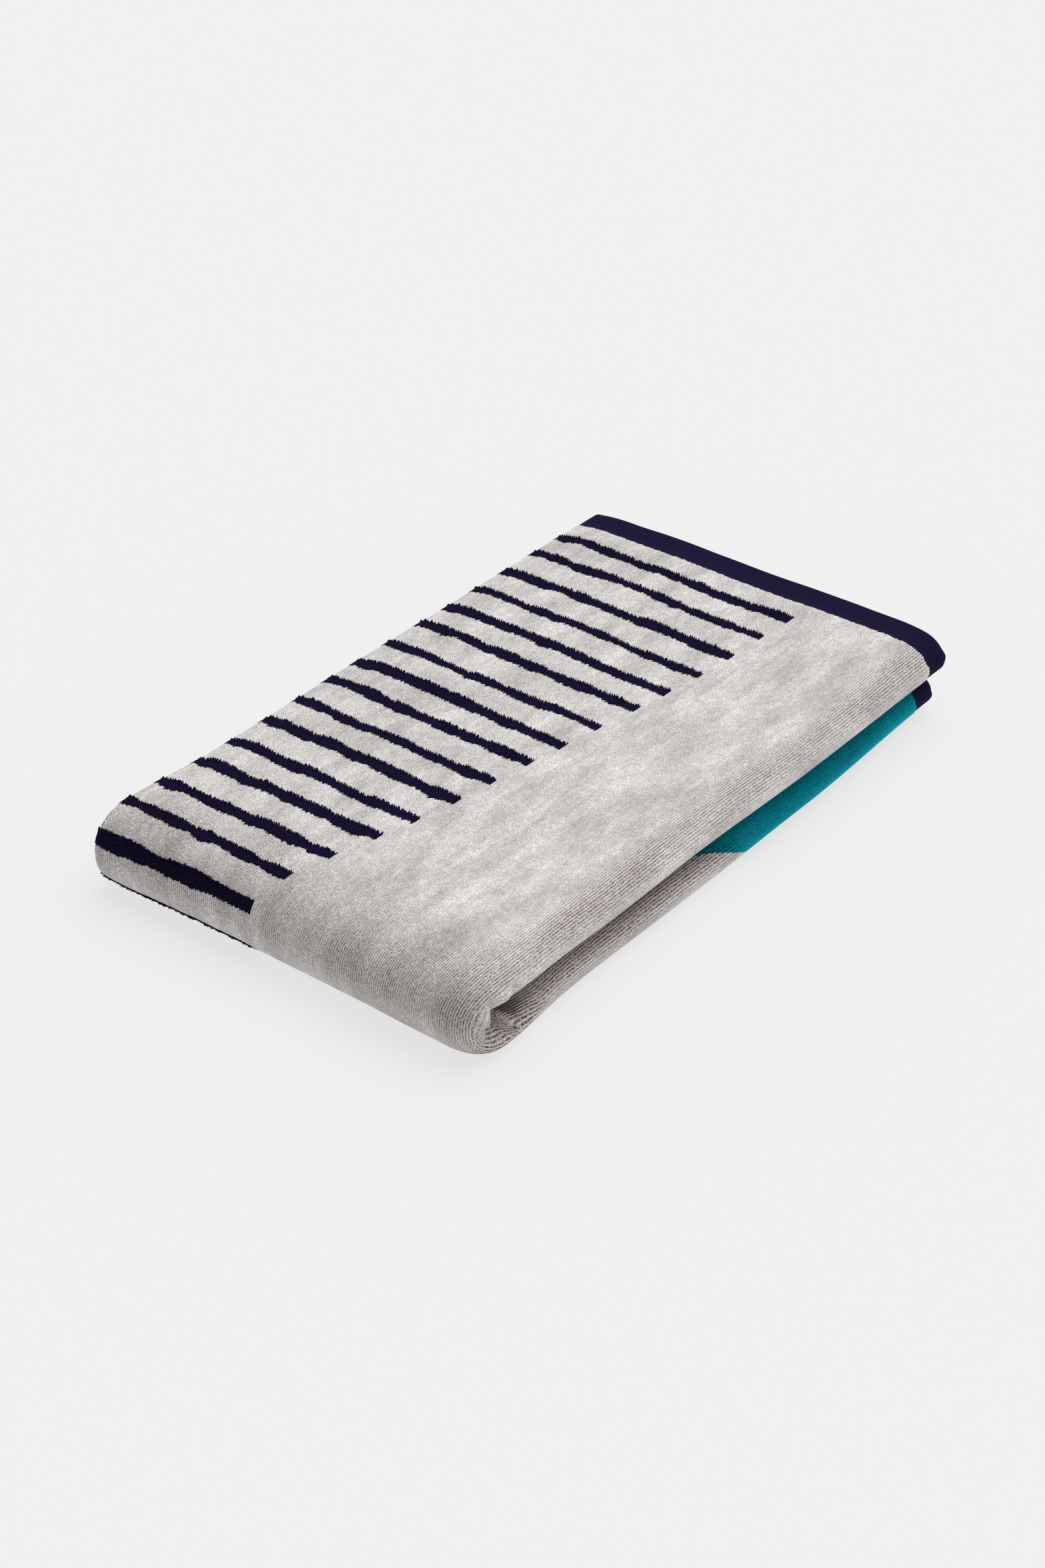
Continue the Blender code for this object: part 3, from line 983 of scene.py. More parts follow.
@dataclass
class TowelCloth:
    """The whole cloth as one closed mesh: ribbed pile on its face, and turned hems at both ends.

    Attributes:
        shape: The folded shape.
        line: The section's middle line.
        ribs: The ribs of the pile.
        opening: How far the pile parts between them, and the shade painted with it.
        teal: The teal part of the lower half.
        columns_per_rib: Columns of the mesh for each rib where a fold shows the ribs.
        flat_columns_per_rib: The same where the cloth lies flat.
        ribbed_before_wrap: How far before the outer wrap the ribs start.
        fine_after_wrap: How far past it the fine columns go.
        coarse_step: Width of a column on layers that don't show.
        bend_step: Width of a column round folds that don't show.
        edge_steps: Columns round a free edge.
        hem_backs: Places of the hem's rounded end, back from its tip.
        hem_shares: The hem's thickness at those places, as shares of the plain one.
        pile_edge: Half the width of the slope from the hem up to the pile.
        seam_margin: How far from the hem's seam the plain stations start.
        upper_steps: Stations along the upper half.
        lower_steps: Stations along the lower half.
        nose_margin: How far past the nose's ends its finer stations go.
        nose_steps: Stations round the lower and the upper half of the nose.
        hem_tooth: How strongly the ribs' ends stand out at a hem.
        teal_tooth: How strongly they stand out at the teal's edge.
        teeth_seed: Starts the random numbers of those ends.
    """

    shape: FoldShape
    line: Route
    ribs: Ribs
    opening: PileOpeningAndShade
    teal: TealField
    columns_per_rib: int = 4
    flat_columns_per_rib: int = 2
    ribbed_before_wrap: float = 25 * MM
    fine_after_wrap: float = 34 * MM
    coarse_step: float = 24 * MM
    bend_step: float = 2.5 * MM
    edge_steps: int = 3
    hem_backs: tuple[float, ...] = (0.0, 0.4 * MM, 1.2 * MM, 2.8 * MM, 12 * MM)
    hem_shares: tuple[float, ...] = (0.2, 0.62, 0.88, 1.0, 1.0)
    pile_edge: float = 0.4 * MM
    seam_margin: float = 3.2 * MM
    upper_steps: int = 30
    lower_steps: int = 22
    nose_margin: float = 15 * MM
    nose_steps: tuple[int, int] = (28, 23)
    hem_tooth: float = 1.4
    teal_tooth: float = 2.0
    teeth_seed: int = 31

    def stations(self) -> list[Station]:
        """Set the stations along the path.

        Returns:
            The stations from the lower hem end, round the nose, to the upper hem end.
        """
        lower = self._half_stations(-1, self.lower_steps)
        upper = self._half_stations(1, self.upper_steps)
        far = self.shape.nose_length / 2 + self.nose_margin
        below = np.linspace(-far, 0.0, self.nose_steps[0], endpoint=False)[1:]
        above = np.linspace(0.0, far, self.nose_steps[1], endpoint=False)
        nose = [Station(path, self.shape.pile_thickness / 2) for path in (*below, *above)]
        return lower + nose + upper[::-1]

    def _half_stations(self, side: int, steps: int) -> list[Station]:
        """Return one half's stations, from its hem end to the nose.

        Args:
            side: 1 for the upper half and -1 for the lower one.
            steps: Number of steps between the hem and the nose.

        Returns:
            The stations.
        """
        shape, end = self.shape, self.shape.path_end
        hem, pile = shape.hem_thickness / 2, shape.pile_thickness / 2
        ends = zip(self.hem_backs, self.hem_shares)
        rows = [Station(side * (end - back), hem * share, ribbed=0.0) for back, share in ends]
        seam = end - shape.hem_width
        rows.append(Station(side * (seam + self.pile_edge), hem, toothed=1.0, ribbed=0.0))
        rows.append(Station(side * (seam - self.pile_edge), pile, toothed=1.0))
        start = shape.nose_length / 2 + self.nose_margin
        straight = np.linspace(seam - self.seam_margin, start, steps + 1)
        places = self._meet_teal(straight) if side < 0 else straight
        return rows + [Station(side * path, pile) for path in places]

    def _meet_teal(self, places: Array) -> Array:
        """Move the station that is nearest to the middle of the teal edge onto it.

        Args:
            places: How far from the middle of the nose the lower half's stations are.

        Returns:
            The places, one of them moved.
        """
        places = places.copy()
        places[np.argmin(np.abs(places + self.teal.middle))] = -self.teal.middle
        return places

    def _face_columns(self) -> Array:
        """Set the columns on the face side, fine where the ribs show.

        Returns:
            The route of each column.
        """
        runs, pitch = self.line.runs, self.ribs.pitch
        start = math.ceil((runs["outer wrap"][0] - self.ribbed_before_wrap) / pitch) * pitch
        change = math.ceil((runs["outer wrap"][1] + self.fine_after_wrap) / pitch) * pitch
        end = math.floor(runs["first fold"][1] / pitch) * pitch
        fine_count = round((change - start) / pitch) * self.columns_per_rib
        flat_count = round((end - change) / pitch) * self.flat_columns_per_rib + 1
        fine = np.linspace(start, change, fine_count, endpoint=False)
        return np.concatenate((fine, np.linspace(change, end, flat_count)))

    def _coarse_columns(self) -> Array:
        """Set the columns where nothing fine shows.

        Returns:
            The route of each column.
        """
        places = [np.array([0.0])]
        for name, (start, end) in self.line.runs.items():
            step = self.coarse_step if name.startswith("layer") else self.bend_step
            places.append(np.linspace(start, end, max(3, math.ceil((end - start) / step)) + 1)[1:])
        return np.concatenate(places)

    def columns(self) -> tuple[Array, Array, Array, Array]:
        """Return the ring's columns.

        Returns:
            The route of each column, how many half thicknesses it stands beyond a free edge, its side from
            1 for the face to -1 for the back, and 1 where it is fine enough for ribs.
        """
        coarse, fine = self._coarse_columns(), self._face_columns()
        margin = self.coarse_step / 4
        plain = coarse[(coarse < fine[0] - margin) | (coarse > fine[-1] + margin / 2)]
        face = np.sort(np.concatenate((plain, fine)))
        turn = math.pi * np.arange(1, self.edge_steps + 1) / (self.edge_steps + 1)
        free = np.zeros(len(turn))
        routes = np.concatenate((face, free + self.line.total, coarse[::-1], free))
        beyond = np.concatenate((face * 0, np.sin(turn), coarse * 0, -np.sin(turn)))
        sides = np.concatenate((face * 0 + 1, np.cos(turn), coarse * 0 - 1, -np.cos(turn)))
        ribbed = np.concatenate((np.isin(face, fine).astype(float), free, coarse * 0, free))
        return routes, beyond, sides, ribbed

    def grid(self) -> tuple[Array, Array, Array, Array]:
        """Work the mesh out, as arrays of stations by columns.

        Returns:
            The points, and the route, path and opening of each.
        """
        stations = self.stations()
        routes, beyond, sides, ribbed = self.columns()
        path, half, toothed, rib_share = (
            np.array([getattr(s, name) for s in stations])[:, None]
            for name in ("path", "half", "toothed", "ribbed")
        )
        middle = self.teal.middle
        slant = (self.teal.edge(routes) - middle) * hill((path - middle) / self.teal.blend)
        at_teal = np.isclose(path, middle).astype(float)
        teeth = self.ribs.teeth(routes, self.teeth_seed) * ribbed
        path = path + slant + np.sign(path) * teeth * (self.hem_tooth * toothed + self.teal_tooth * at_teal)
        route = self.ribs.drifted(routes, path) + beyond * half
        route = np.where(ribbed > 0, route, routes + beyond * half)
        opening = self.opening(routes, path)
        relief = self.ribs.relief(routes, opening) * ribbed * rib_share
        across, height = self.line.at(route, sides * half + relief)
        points = self.shape.place(across, height, path)
        points[..., 2] = np.maximum(points[..., 2], 0.0)
        return points, np.broadcast_to(routes, path.shape), path, opening * rib_share

    def dress(self, piece: bpy.types.Object) -> None:
        """Put the finishes on the cloth, in the order of its material slots."""
        for finish in (GREY_VELOUR, TEAL_VELOUR, HemBand()):
            piece.data.materials.append(finish.build())

    def build(self) -> bpy.types.Object:
        """Build the cloth, with its cloth map, its opening and its finishes by face.

        Returns:
            The dressed cloth.
        """
        points, route, path, opening = self.grid()
        rows, columns = route.shape
        lower = np.arange(rows - 1)[:, None] * columns + np.arange(columns)
        following = np.arange(rows - 1)[:, None] * columns + (np.arange(columns) + 1) % columns
        quads = np.stack((lower, lower + columns, following + columns, following), axis=-1).reshape(-1, 4)
        caps = self._cap(0, columns) + [tri[::-1] for tri in self._cap((rows - 1) * columns, columns)]
        finish = np.repeat(self._finish_by_row(), columns)
        finish = np.concatenate((finish, np.full(len(caps), Face.HEM.value)))
        faces = quads.tolist() + caps
        piece = make_mesh("towel_cloth", points, faces, route, path, opening, finish)
        self.dress(piece)
        return piece

    def _finish_by_row(self) -> Array:
        """Choose the finish of each row of faces between two stations.

        Returns:
            The rows' finishes, as numbers of the material slots.
        """
        stations = self.stations()
        finishes = []
        for first, second in zip(stations, stations[1:]):
            if first.ribbed + second.ribbed < 2:
                finishes.append(Face.HEM.value)
            else:
                teal = max(first.path, second.path) < self.teal.middle + MM
                finishes.append(Face.TEAL_PILE.value if teal else Face.GREY_PILE.value)
        return np.array(finishes)

    def _cap(self, start: int, count: int) -> list[tuple[int, int, int]]:
        """Close one end of the cloth between its face and its back.

        Args:
            start: The ring's first point.
            count: How many points the ring has.

        Returns:
            The faces, as points.
        """
        routes, beyond, sides, _ = self.columns()
        places = routes + beyond * self.shape.hem_thickness
        face = [i for i in range(count) if sides[i] >= 0]
        back = [i for i in range(count) if sides[i] < 0]
        face.sort(key=lambda i: (places[i], i))
        back.sort(key=lambda i: (places[i], -i))
        first = second = 0
        faces = []
        while first < len(face) - 1 or second < len(back) - 1:
            ahead = places[face[first + 1]] if first < len(face) - 1 else math.inf
            behind = places[back[second + 1]] if second < len(back) - 1 else math.inf
            if ahead <= behind:
                faces.append((start + face[first], start + face[first + 1], start + back[second]))
                first += 1
            else:
                faces.append((start + face[first], start + back[second + 1], start + back[second]))
                second += 1
        return faces


def make_mesh(
    name: str, points: Array, faces: list, route: Array, path: Array, opening: Array, finish: Array
) -> bpy.types.Object:
    """Make a mesh object with its cloth map, rib opening and finishes.

    Args:
        name: The object's name.
        points: The places of its points.
        faces: The points of each face.
        route: Each point's route, for the cloth map.
        path: Each point's path, for the cloth map.
        opening: Each point's rib opening, with its painted shade.
        finish: Each face's material slot.

    Returns:
        The object.
    """
    data = bpy.data.meshes.new(name)
    data.from_pydata(points.reshape(-1, 3).tolist(), [], faces)
    places = np.column_stack((route.ravel(), path.ravel()))
    corners = np.empty(len(data.loops), dtype=np.int32)
    data.loops.foreach_get("vertex_index", corners)
    data.uv_layers.new(name=CLOTH_MAP).uv.foreach_set("vector", places[corners].ravel().astype(np.float32))
    layer = data.attributes.new(OPENING_AND_SHADE, "FLOAT", "POINT")
    layer.data.foreach_set("value", opening.ravel().astype(np.float32))
    data.polygons.foreach_set("material_index", finish.astype(np.int32))
    data.shade_smooth()
    data.update()
    return new_object(name, data)


# ---------------------------------------------------------------------------------------------------------
# The stripes
# ---------------------------------------------------------------------------------------------------------


class Seed(IntEnum):
    """Where the random numbers of each unevenness start. A stripe adds its own number."""

    PLACE = 400
    STROKES = 500
    SWAY = 600
    WIDTH = 700
    FRINGE = 800
    UPRIGHT = 900
    FUZZ = 960


@dataclass
class NavyStripes:
    """The narrow navy stripes: raised, ribbed strips of pile that run in from the hidden long edge.

    They are drawn as a weaver would plan them, evenly spaced and of one width, and then made uneven by
    seeded numbers alone: each is a chain of slanting strokes that step back where a new one starts.

    Attributes:
        shape: The folded shape.
        line: The section's middle line.
        ribs: The ribs of the pile.
        opening: How far the pile parts between them, and the shade painted with it.
        count: Stripes from the hem to the nose; one more lies under the nose.
        pitch: From one stripe to the next.
        first_path: Path of the stripe nearest to the hem.
        under_nose: Path of the stripe under the nose.
        half_width: Half a stripe's plain width.
        width_change: How much wider it gets.
        spacing_change: How far a stripe lies off its place.
        stroke_length: Length of one stroke.
        stroke_lengths: The shortest and the longest stroke, as shares of that.
        stroke_count: Strokes in one stripe; the last one goes on where they run out.
        stroke_drift: How far a stroke slants off.
        stroke_drifts: The smallest and the largest slant, as shares of that.
        stroke_middle: Share of its slant that a stroke starts back by.
        step_back: Length in which a stripe steps back to where the next stroke starts.
        joint_widening: How much of the width change comes where two strokes meet.
        stripe_widening: The least and the most of it that a whole stripe has throughout.
        sway: How far a stripe sways.
        sway_length: Length of the sway.
        slow_width: How much its half width swells and shrinks.
        slow_width_length: Length of a swelling.
        reach_at_hem: How far from the far edge the stripe nearest to the hem comes in.
        reach_at_nose: The same at the nose.
        reach_bow: How far the line of the stripes' ends bows out between them.
        reach_change: How far one end lies off that line.
        past_fold: How far past the far edge's fold the stripes go on.
        columns_per_rib: Columns of the mesh for each rib.
        teeth: How far the pile of one rib stands out on a stripe's nose side and on its hem side.
        uneven_teeth: How far that differs from rib to rib.
        tooth_power: How narrow the teeth are.
        tooth_middle: The height of a crest at which its tooth neither stands out nor back.
        fuzz: How far single hairs stand out.
        hair: Width of a hair.
        upright: How high the pile stands up along a stripe's hem side.
        uneven_upright: Share by which that differs from rib to rib.
        nose_calm: Share by which a stripe strays less round the nose.
        nose_calm_reach: Length of the path on which it does.
        nose_combed: Share by which the teeth are shorter there.
        nose_widening: How much wider a stripe is where the nose pulls it open.
        nose_widening_reach: Length of the path on which it is.
        more_open_and_shaded: How much further the dark pile opens than the pale pile beside it, which deepens
            the painted shade in its grooves.
        rise: How far a stripe stands above the pile beside it.
        depth: How far its edges go down into that pile.
        section: A stripe's section, from -1 on its nose side to 1 on its hem side.
        brim_from: From where on the section the pile stands up.
    """

    shape: FoldShape
    line: Route
    ribs: Ribs
    opening: PileOpeningAndShade
    count: int = 16
    pitch: float = 30.6 * MM
    first_path: float = 472 * MM
    under_nose: float = -21.5 * MM
    half_width: float = 4.4 * MM
    width_change: float = 1.8 * MM
    spacing_change: float = 1.6 * MM
    stroke_length: float = 62 * MM
    stroke_lengths: Span = (0.55, 1.5)
    stroke_count: int = 12
    stroke_drift: float = 2.6 * MM
    stroke_drifts: Span = (0.1, 1.2)
    stroke_middle: float = 0.4
    step_back: float = 12 * MM
    joint_widening: float = 0.45
    stripe_widening: Span = (-0.5, 0.5)
    sway: float = 1.1 * MM
    sway_length: float = 35 * MM
    slow_width: float = 1.08 * MM
    slow_width_length: float = 11 * MM
    reach_at_hem: float = 200.5 * MM
    reach_at_nose: float = 125.5 * MM
    reach_bow: float = 12.5 * MM
    reach_change: float = 1.0 * MM
    past_fold: float = 4 * MM
    columns_per_rib: int = 8
    teeth: Span = (1.1 * MM, 0.9 * MM)
    uneven_teeth: Span = (0.8 * MM, 0.6 * MM)
    tooth_power: float = 1.6
    tooth_middle: float = 0.4
    fuzz: float = 0.75 * MM
    hair: float = 0.5 * MM
    upright: float = 1.0 * MM
    uneven_upright: float = 0.5
    nose_calm: float = 0.75
    nose_calm_reach: float = 100 * MM
    nose_combed: float = 0.6
    nose_widening: float = 1.3 * MM
    nose_widening_reach: float = 40 * MM
    more_open_and_shaded: float = 0.5
    rise: float = 0.28 * MM
    depth: float = 0.7 * MM
    section: tuple[float, ...] = (-1.0, -0.9, -0.4, 0.4, 0.9, 1.0)
    brim_from: float = 0.8

    def _strokes(self, route: Array, seed: int) -> tuple[Array, Array]:
        """Return how far a stripe strays from its line, and how much wider it is, along its route.

        Args:
            route: Places along the stripe.
            seed: Starts the stripe's random numbers.

        Returns:
            The stray along the path and the added half width.
        """
        numbers = np.random.default_rng(seed)
        lengths = numbers.uniform(*self.stroke_lengths, self.stroke_count) * self.stroke_length
        first = route[0] - numbers.uniform(0.0, self.stroke_length)
        starts = first + np.concatenate(([0.0], np.cumsum(lengths)))
        drifts = self.stroke_drift * numbers.uniform(*self.stroke_drifts, len(starts))
        index = np.clip(np.searchsorted(starts, route) - 1, 0, len(lengths) - 1)
        along = (route - starts[index]) / lengths[index]
        back = ease((1.0 - along) * lengths[index] / self.step_back)
        stray = drifts[index] * (along * back - self.stroke_middle)
        joint = hill((1.0 - along) * lengths[index] / self.step_back)
        wide = self.width_change * (self.joint_widening * joint + numbers.uniform(*self.stripe_widening))
        return stray, wide

    def _along(self, seed: int, length: float, route: Array) -> Array:
        """Return noise along a stripe, from -1 to 1, in hills of the given length."""
        return SoftNoise(seed, length, cell_y=1.0)(route, 0.0)

    def _line_path(self, number: int, numbers: np.random.Generator) -> float:
        """Return the path of a stripe's line, a little off its even place."""
        off = self.spacing_change * numbers.uniform(-1.0, 1.0)
        return self.under_nose if number == self.count else self.first_path - number * self.pitch + off

    def _route(self, line_path: float, numbers: np.random.Generator) -> Array:
        """Lay a stripe's columns along the section, from its end on the face to the far edge's fold.

        Args:
            line_path: The path of the stripe's line.
            numbers: The stripe's random numbers.

        Returns:
            The columns' route.
        """
        share = np.clip(line_path / self.first_path, 0.0, 1.0)
        reach = self.reach_at_nose + (self.reach_at_hem - self.reach_at_nose) * share
        reach += 4 * self.reach_bow * share * (1 - share) + self.reach_change * numbers.uniform(-1.0, 1.0)
        start = self.line.runs["outer wrap"][1] + self.shape.outer_wrap.centre - reach
        end = self.line.runs["first fold"][1] + self.past_fold
        step = self.ribs.pitch / self.columns_per_rib
        return np.arange(math.ceil(start / step), math.floor(end / step)) * step

    def _sides(self, number: int, line_path: float, route: Array, tooth: Array) -> tuple[Array, Array, Array]:
        """Draw a stripe's middle and its two fringed sides.

        Args:
            number: The stripe's number, from the hem.
            line_path: The path of its line.
            route: Its columns' route.
            tooth: How far along its tooth each column is, from 0 to 1.

        Returns:
            The path of its middle, and the widths on its nose side and on its hem side.
        """
        at_nose = hill(line_path / self.nose_calm_reach)
        stray, wider = self._strokes(route, Seed.STROKES + number)
        stray = stray + self.sway * self._along(Seed.SWAY + number, self.sway_length, route)
        middle = line_path + (1 - self.nose_calm * at_nose) * stray
        half = self.half_width + wider + self.nose_widening * hill(line_path / self.nose_widening_reach)
        half = half + self.slow_width * self._along(Seed.WIDTH + number, self.slow_width_length, route)
        combed = 1 - self.nose_combed * at_nose
        low, high = (
            half
            + self.teeth[side] * combed * (tooth - self.tooth_middle)
            + self.uneven_teeth[side] * combed * self.ribs.uneven(route, Seed.FRINGE + 2 * number + side)
            + self.fuzz * self._along(Seed.FUZZ + 2 * number + side, self.hair, route)
            for side in (0, 1)
        )
        return middle, low, high

    def _stripe(self, number: int) -> tuple[Array, Array, Array, Array]:
        """Work out one stripe, as columns by section points.

        Args:
            number: The stripe's number, from the hem.

        Returns:
            The points, and the route, path and opening of each.
        """
        numbers = np.random.default_rng(Seed.PLACE + number)
        line_path = self._line_path(number, numbers)
        route = self._route(line_path, numbers)
        tooth = self.ribs.crest(route) ** self.tooth_power
        middle, low, high = self._sides(number, line_path, route, tooth)
        section = np.array(self.section)
        path = middle[:, None] + section * np.where(section > 0, high[:, None], low[:, None])
        route_grid = np.broadcast_to(route[:, None], path.shape)
        # The stripes' pile opens further, which paints deeper shade in their grooves.
        opening = np.clip(self.opening(route_grid, path) + self.more_open_and_shaded, 0.0, 1.0)
        relief = self.ribs.relief(route_grid, opening)
        edge = np.abs(section) == 1.0
        brim = (section > self.brim_from) & ~edge
        tuft = tooth * (1 + self.uneven_upright * self.ribs.uneven(route, Seed.UPRIGHT + number))
        above = self.rise + relief + self.upright * tuft[:, None] * brim
        offset = self.shape.pile_thickness / 2 + np.where(edge, -self.depth, above)
        across, height = self.line.at(self.ribs.drifted(route_grid, path), offset)
        points = self.shape.place(across, height, path)
        points[..., 2] = np.maximum(points[..., 2], 0.0)
        return points, route_grid, path, opening

    def dress(self, piece: bpy.types.Object) -> None:
        """Put the navy pile on the stripes."""
        piece.data.materials.append(NAVY_VELOUR.build())

    def build(self) -> bpy.types.Object:
        """Build all the stripes as one mesh of closed strips.

        Returns:
            The dressed stripes.
        """
        parts, faces, start = [], [], 0
        width = len(self.section)
        for number in range(self.count + 1):
            stripe = self._stripe(number)
            rows = len(stripe[0])
            places = np.arange(width)
            column = start + np.arange(rows - 1)[:, None] * width
            first, second = column + places, column + (places + 1) % width
            faces += np.stack((first, second, second + width, first + width), axis=-1).reshape(-1, 4).tolist()
            last = start + (rows - 1) * width
            faces += [list(range(start + width - 1, start - 1, -1)), list(range(last, last + width))]
            parts.append([part.reshape(-1, *part.shape[2:]) for part in stripe])
            start += rows * width
        points, route, path, opening = (np.concatenate(column) for column in zip(*parts))
        piece = make_mesh("navy_stripes", points, faces, route, path, opening, np.zeros(len(faces)))
        self.dress(piece)
        return piece


# ---------------------------------------------------------------------------------------------------------
# The finishes
# ---------------------------------------------------------------------------------------------------------


@dataclass(frozen=True)
class Velour:
    """Cotton velour: terry loops sheared to an upright pile, woven in ribs, with a soft sheen.

    The sheared ends scatter light evenly, so the face is matt with a pale bloom at grazing angles. Where the
    ribs part, the eye sees down into the pile, which is darker and warmer: the grooves take the depth colour
    and the face a darker, warmer colour, which is painted shade as much as the pile's ground, and both grow
    with the opening, which is set higher where the cloth lies in shade. The pile leans a little this way
    and that, which clouds the face, and its single tufts give it a fine grain.

    Attributes:
        name: The material's name.
        pile: The face's colour.
        shade: The colour where the pile leans away.
        opened_and_shaded: The colour of the ribs where a fold spreads them, darker and warmer: partly the
            pile's ground and partly painted shade.
        depth: The colour down between the ribs: painted shade in the grooves as well as the pile's dark
            ground.
        sheen: How strong the bloom at grazing angles is.
        bloom: The bloom's colour, which is the dye's own where the pile is dyed through.
        gloss: How much plain light the face mirrors.
        grain: How strong the grain of the tufts is.
        patches: How strong the small patches of leaning pile are.
        matt: The face's roughness.
        bloom_spread: The sheen's roughness: how far round the bloom reaches.
        tuft: Size of one tuft along the route and along the path, in millimetres.
        patch: Size of the patches, in millimetres.
        cloud: Size of the clouds, in millimetres.
        cloud_noise: The values of the clouds' noise at the face's colour and at the shade.
        dash: Size of the dashes in which a groove shows, in millimetres.
        dash_noise: The values of the dashes' noise at a gap and at a dash.
        dash_gap: How strongly a groove still shows between its dashes.
        fine_noise: The values of the grain's and the patches' noise at their darkest and palest.
        roughness: How strong the finer layers of each of these are.
        rib: From one rib to the next, in millimetres.
        waver: How far a rib wavers, in millimetres.
        waver_size: Length along the route and along the path in which it does, in millimetres.
        widest: The widest opening of the pile.
        groove_level: Up to which height of a rib its groove reaches: closed, and at the widest opening.
        groove_edge: How far above and below that height the groove sets in.
        shallow: The openings at which a groove is at its shallowest and at its deepest.
        shallowest: How dark a groove is at its shallowest.
        unbroken: The openings from which the dashes join, and at which a groove is unbroken.
        joining: How much of a groove shows in its gaps when the dashes start to join.
        warmed_and_shaded: The openings between which the face takes on that darker, warmer colour of painted
            shade.
        rib_relief: Height of the ribs in the bump, in millimetres.
        closed_relief: Share of that height which a closed rib has.
        tuft_relief: Height of the tufts in the bump, in millimetres.
    """

    name: str
    pile: str
    shade: str
    opened_and_shaded: str
    depth: str
    sheen: float = 0.25
    bloom: str = "#FFFFFF"
    gloss: float = 0.10
    grain: float = 0.38
    patches: float = 0.14
    matt: float = 0.92
    bloom_spread: float = 0.45
    tuft: Span = (0.75, 1.5)
    patch: Span = (3.0, 6.0)
    cloud: Span = (17.0, 55.0)
    cloud_noise: Span = (0.34, 0.66)
    dash: Span = (1.2, 2.0)
    dash_noise: Span = (0.37, 0.57)
    dash_gap: float = 0.1
    fine_noise: Span = (0.3, 0.7)
    roughness: float = 0.62
    rib: float = 1.65
    waver: float = 0.4
    waver_size: Span = (2.5, 4.0)
    widest: float = 2.0
    groove_level: Span = (0.14, 1.18)
    groove_edge: Span = (0.12, -0.18)
    shallow: Span = (0.06, 0.55)
    shallowest: float = 0.38
    unbroken: Span = (0.9, 1.4)
    joining: float = 0.15
    warmed_and_shaded: Span = (0.10, 0.80)
    rib_relief: float = 0.16
    closed_relief: float = 0.25
    tuft_relief: float = 0.14

    def build(self) -> bpy.types.Material:
        """Build the material from the cloth map and the rib opening, which carries painted shade.

        Returns:
            The material.
        """
        material, shader = new_material(self.name, self.matt, self.gloss)
        tree = material.node_tree
        shader.inputs["Sheen Weight"].default_value = self.sheen
        shader.inputs["Sheen Tint"].default_value = linear(self.bloom)
        shader.inputs["Sheen Roughness"].default_value = self.bloom_spread
        cloth = add_node(tree, "UVMap", uv_map=CLOTH_MAP).outputs["UV"]
        opening = {"attribute_name": OPENING_AND_SHADE, "attribute_type": "GEOMETRY"}
        opening_and_shade = add_node(tree, "Attribute", **opening).outputs["Fac"]
        tufts = self._noise(tree, cloth, self.tuft, detail=3.0)
        crest = self._crest(tree, cloth)
        groove = self._groove_shade(tree, cloth, crest, opening_and_shade)
        face = self._face(tree, cloth, tufts, opening_and_shade)
        # The grooves take the depth colour: painted shade between the ribs.
        colour = mixed(tree, groove, face, linear(self.depth))
        tree.links.new(colour, shader.inputs["Base Color"])
        tree.links.new(self._relief(tree, crest, tufts, opening_and_shade), shader.inputs["Normal"])
        return material

    def _noise(self, tree: Tree, cloth: Socket, size: Span, detail: float) -> Socket:
        """Add noise on the cloth map.

        Args:
            tree: The node tree.
            cloth: The cloth map, in metres.
            size: The noise's size along the route and along the path, in millimetres.
            detail: Its number of finer layers.

        Returns:
            The noise's value socket.
        """
        scale = (1 / (size[0] * MM), 1 / (size[1] * MM), 1.0)
        scaled = add_node(tree, "Mapping", {"Vector": cloth, "Scale": scale})
        inputs = {"Vector": scaled.outputs[0], "Scale": 1.0, "Detail": detail, "Roughness": self.roughness}
        return add_node(tree, "TexNoise", inputs).outputs[0]

    def _crest(self, tree: Tree, cloth: Socket) -> Socket:
        """Draw the ribs' section, with ribs that waver a little.

        Args:
            tree: The node tree.
            cloth: The cloth map, in metres.

        Returns:
            The socket of a value that is 1 at a crest and 0 at a groove.
        """
        route = add_node(tree, "SeparateXYZ", {0: cloth}).outputs[0]
        noise = self._noise(tree, cloth, self.waver_size, detail=1.0)
        waver = mapped(tree, noise, NONE_TO_ALL, (-self.waver * MM, self.waver * MM))
        turns = maths(tree, "MULTIPLY", maths(tree, "ADD", route, waver), 2 * math.pi / (self.rib * MM))
        return mapped(tree, maths(tree, "COSINE", turns, 0.0), (-1.0, 1.0))

    def _groove_shade(self, tree: Tree, cloth: Socket, crest: Socket, opening_and_shade: Socket) -> Socket:
        """Work out the painted shade in the grooves, where the eye sees into the pile: in dashes, and wider
        where the pile is open.

        Args:
            tree: The node tree.
            cloth: The cloth map, in metres.
            crest: The ribs' section.
            opening_and_shade: How far the pile parts, with its painted shade.

        Returns:
            The socket of a value that is 0 on the face and 1 in the depth.
        """
        level = mapped(tree, opening_and_shade, (0.0, self.widest), self.groove_level)
        low = mapped(tree, maths(tree, "SUBTRACT", crest, level), self.groove_edge)
        strength = mapped(tree, opening_and_shade, self.shallow, (self.shallowest, 1.0))
        noise = self._noise(tree, cloth, self.dash, detail=2.0)
        dashes = mapped(tree, noise, self.dash_noise, (self.dash_gap, 1.0))
        whole = mapped(tree, opening_and_shade, self.unbroken, (self.joining, 1.0))
        shown = maths(tree, "MAXIMUM", dashes, whole)
        return maths(tree, "MULTIPLY", maths(tree, "MULTIPLY", low, strength), shown)

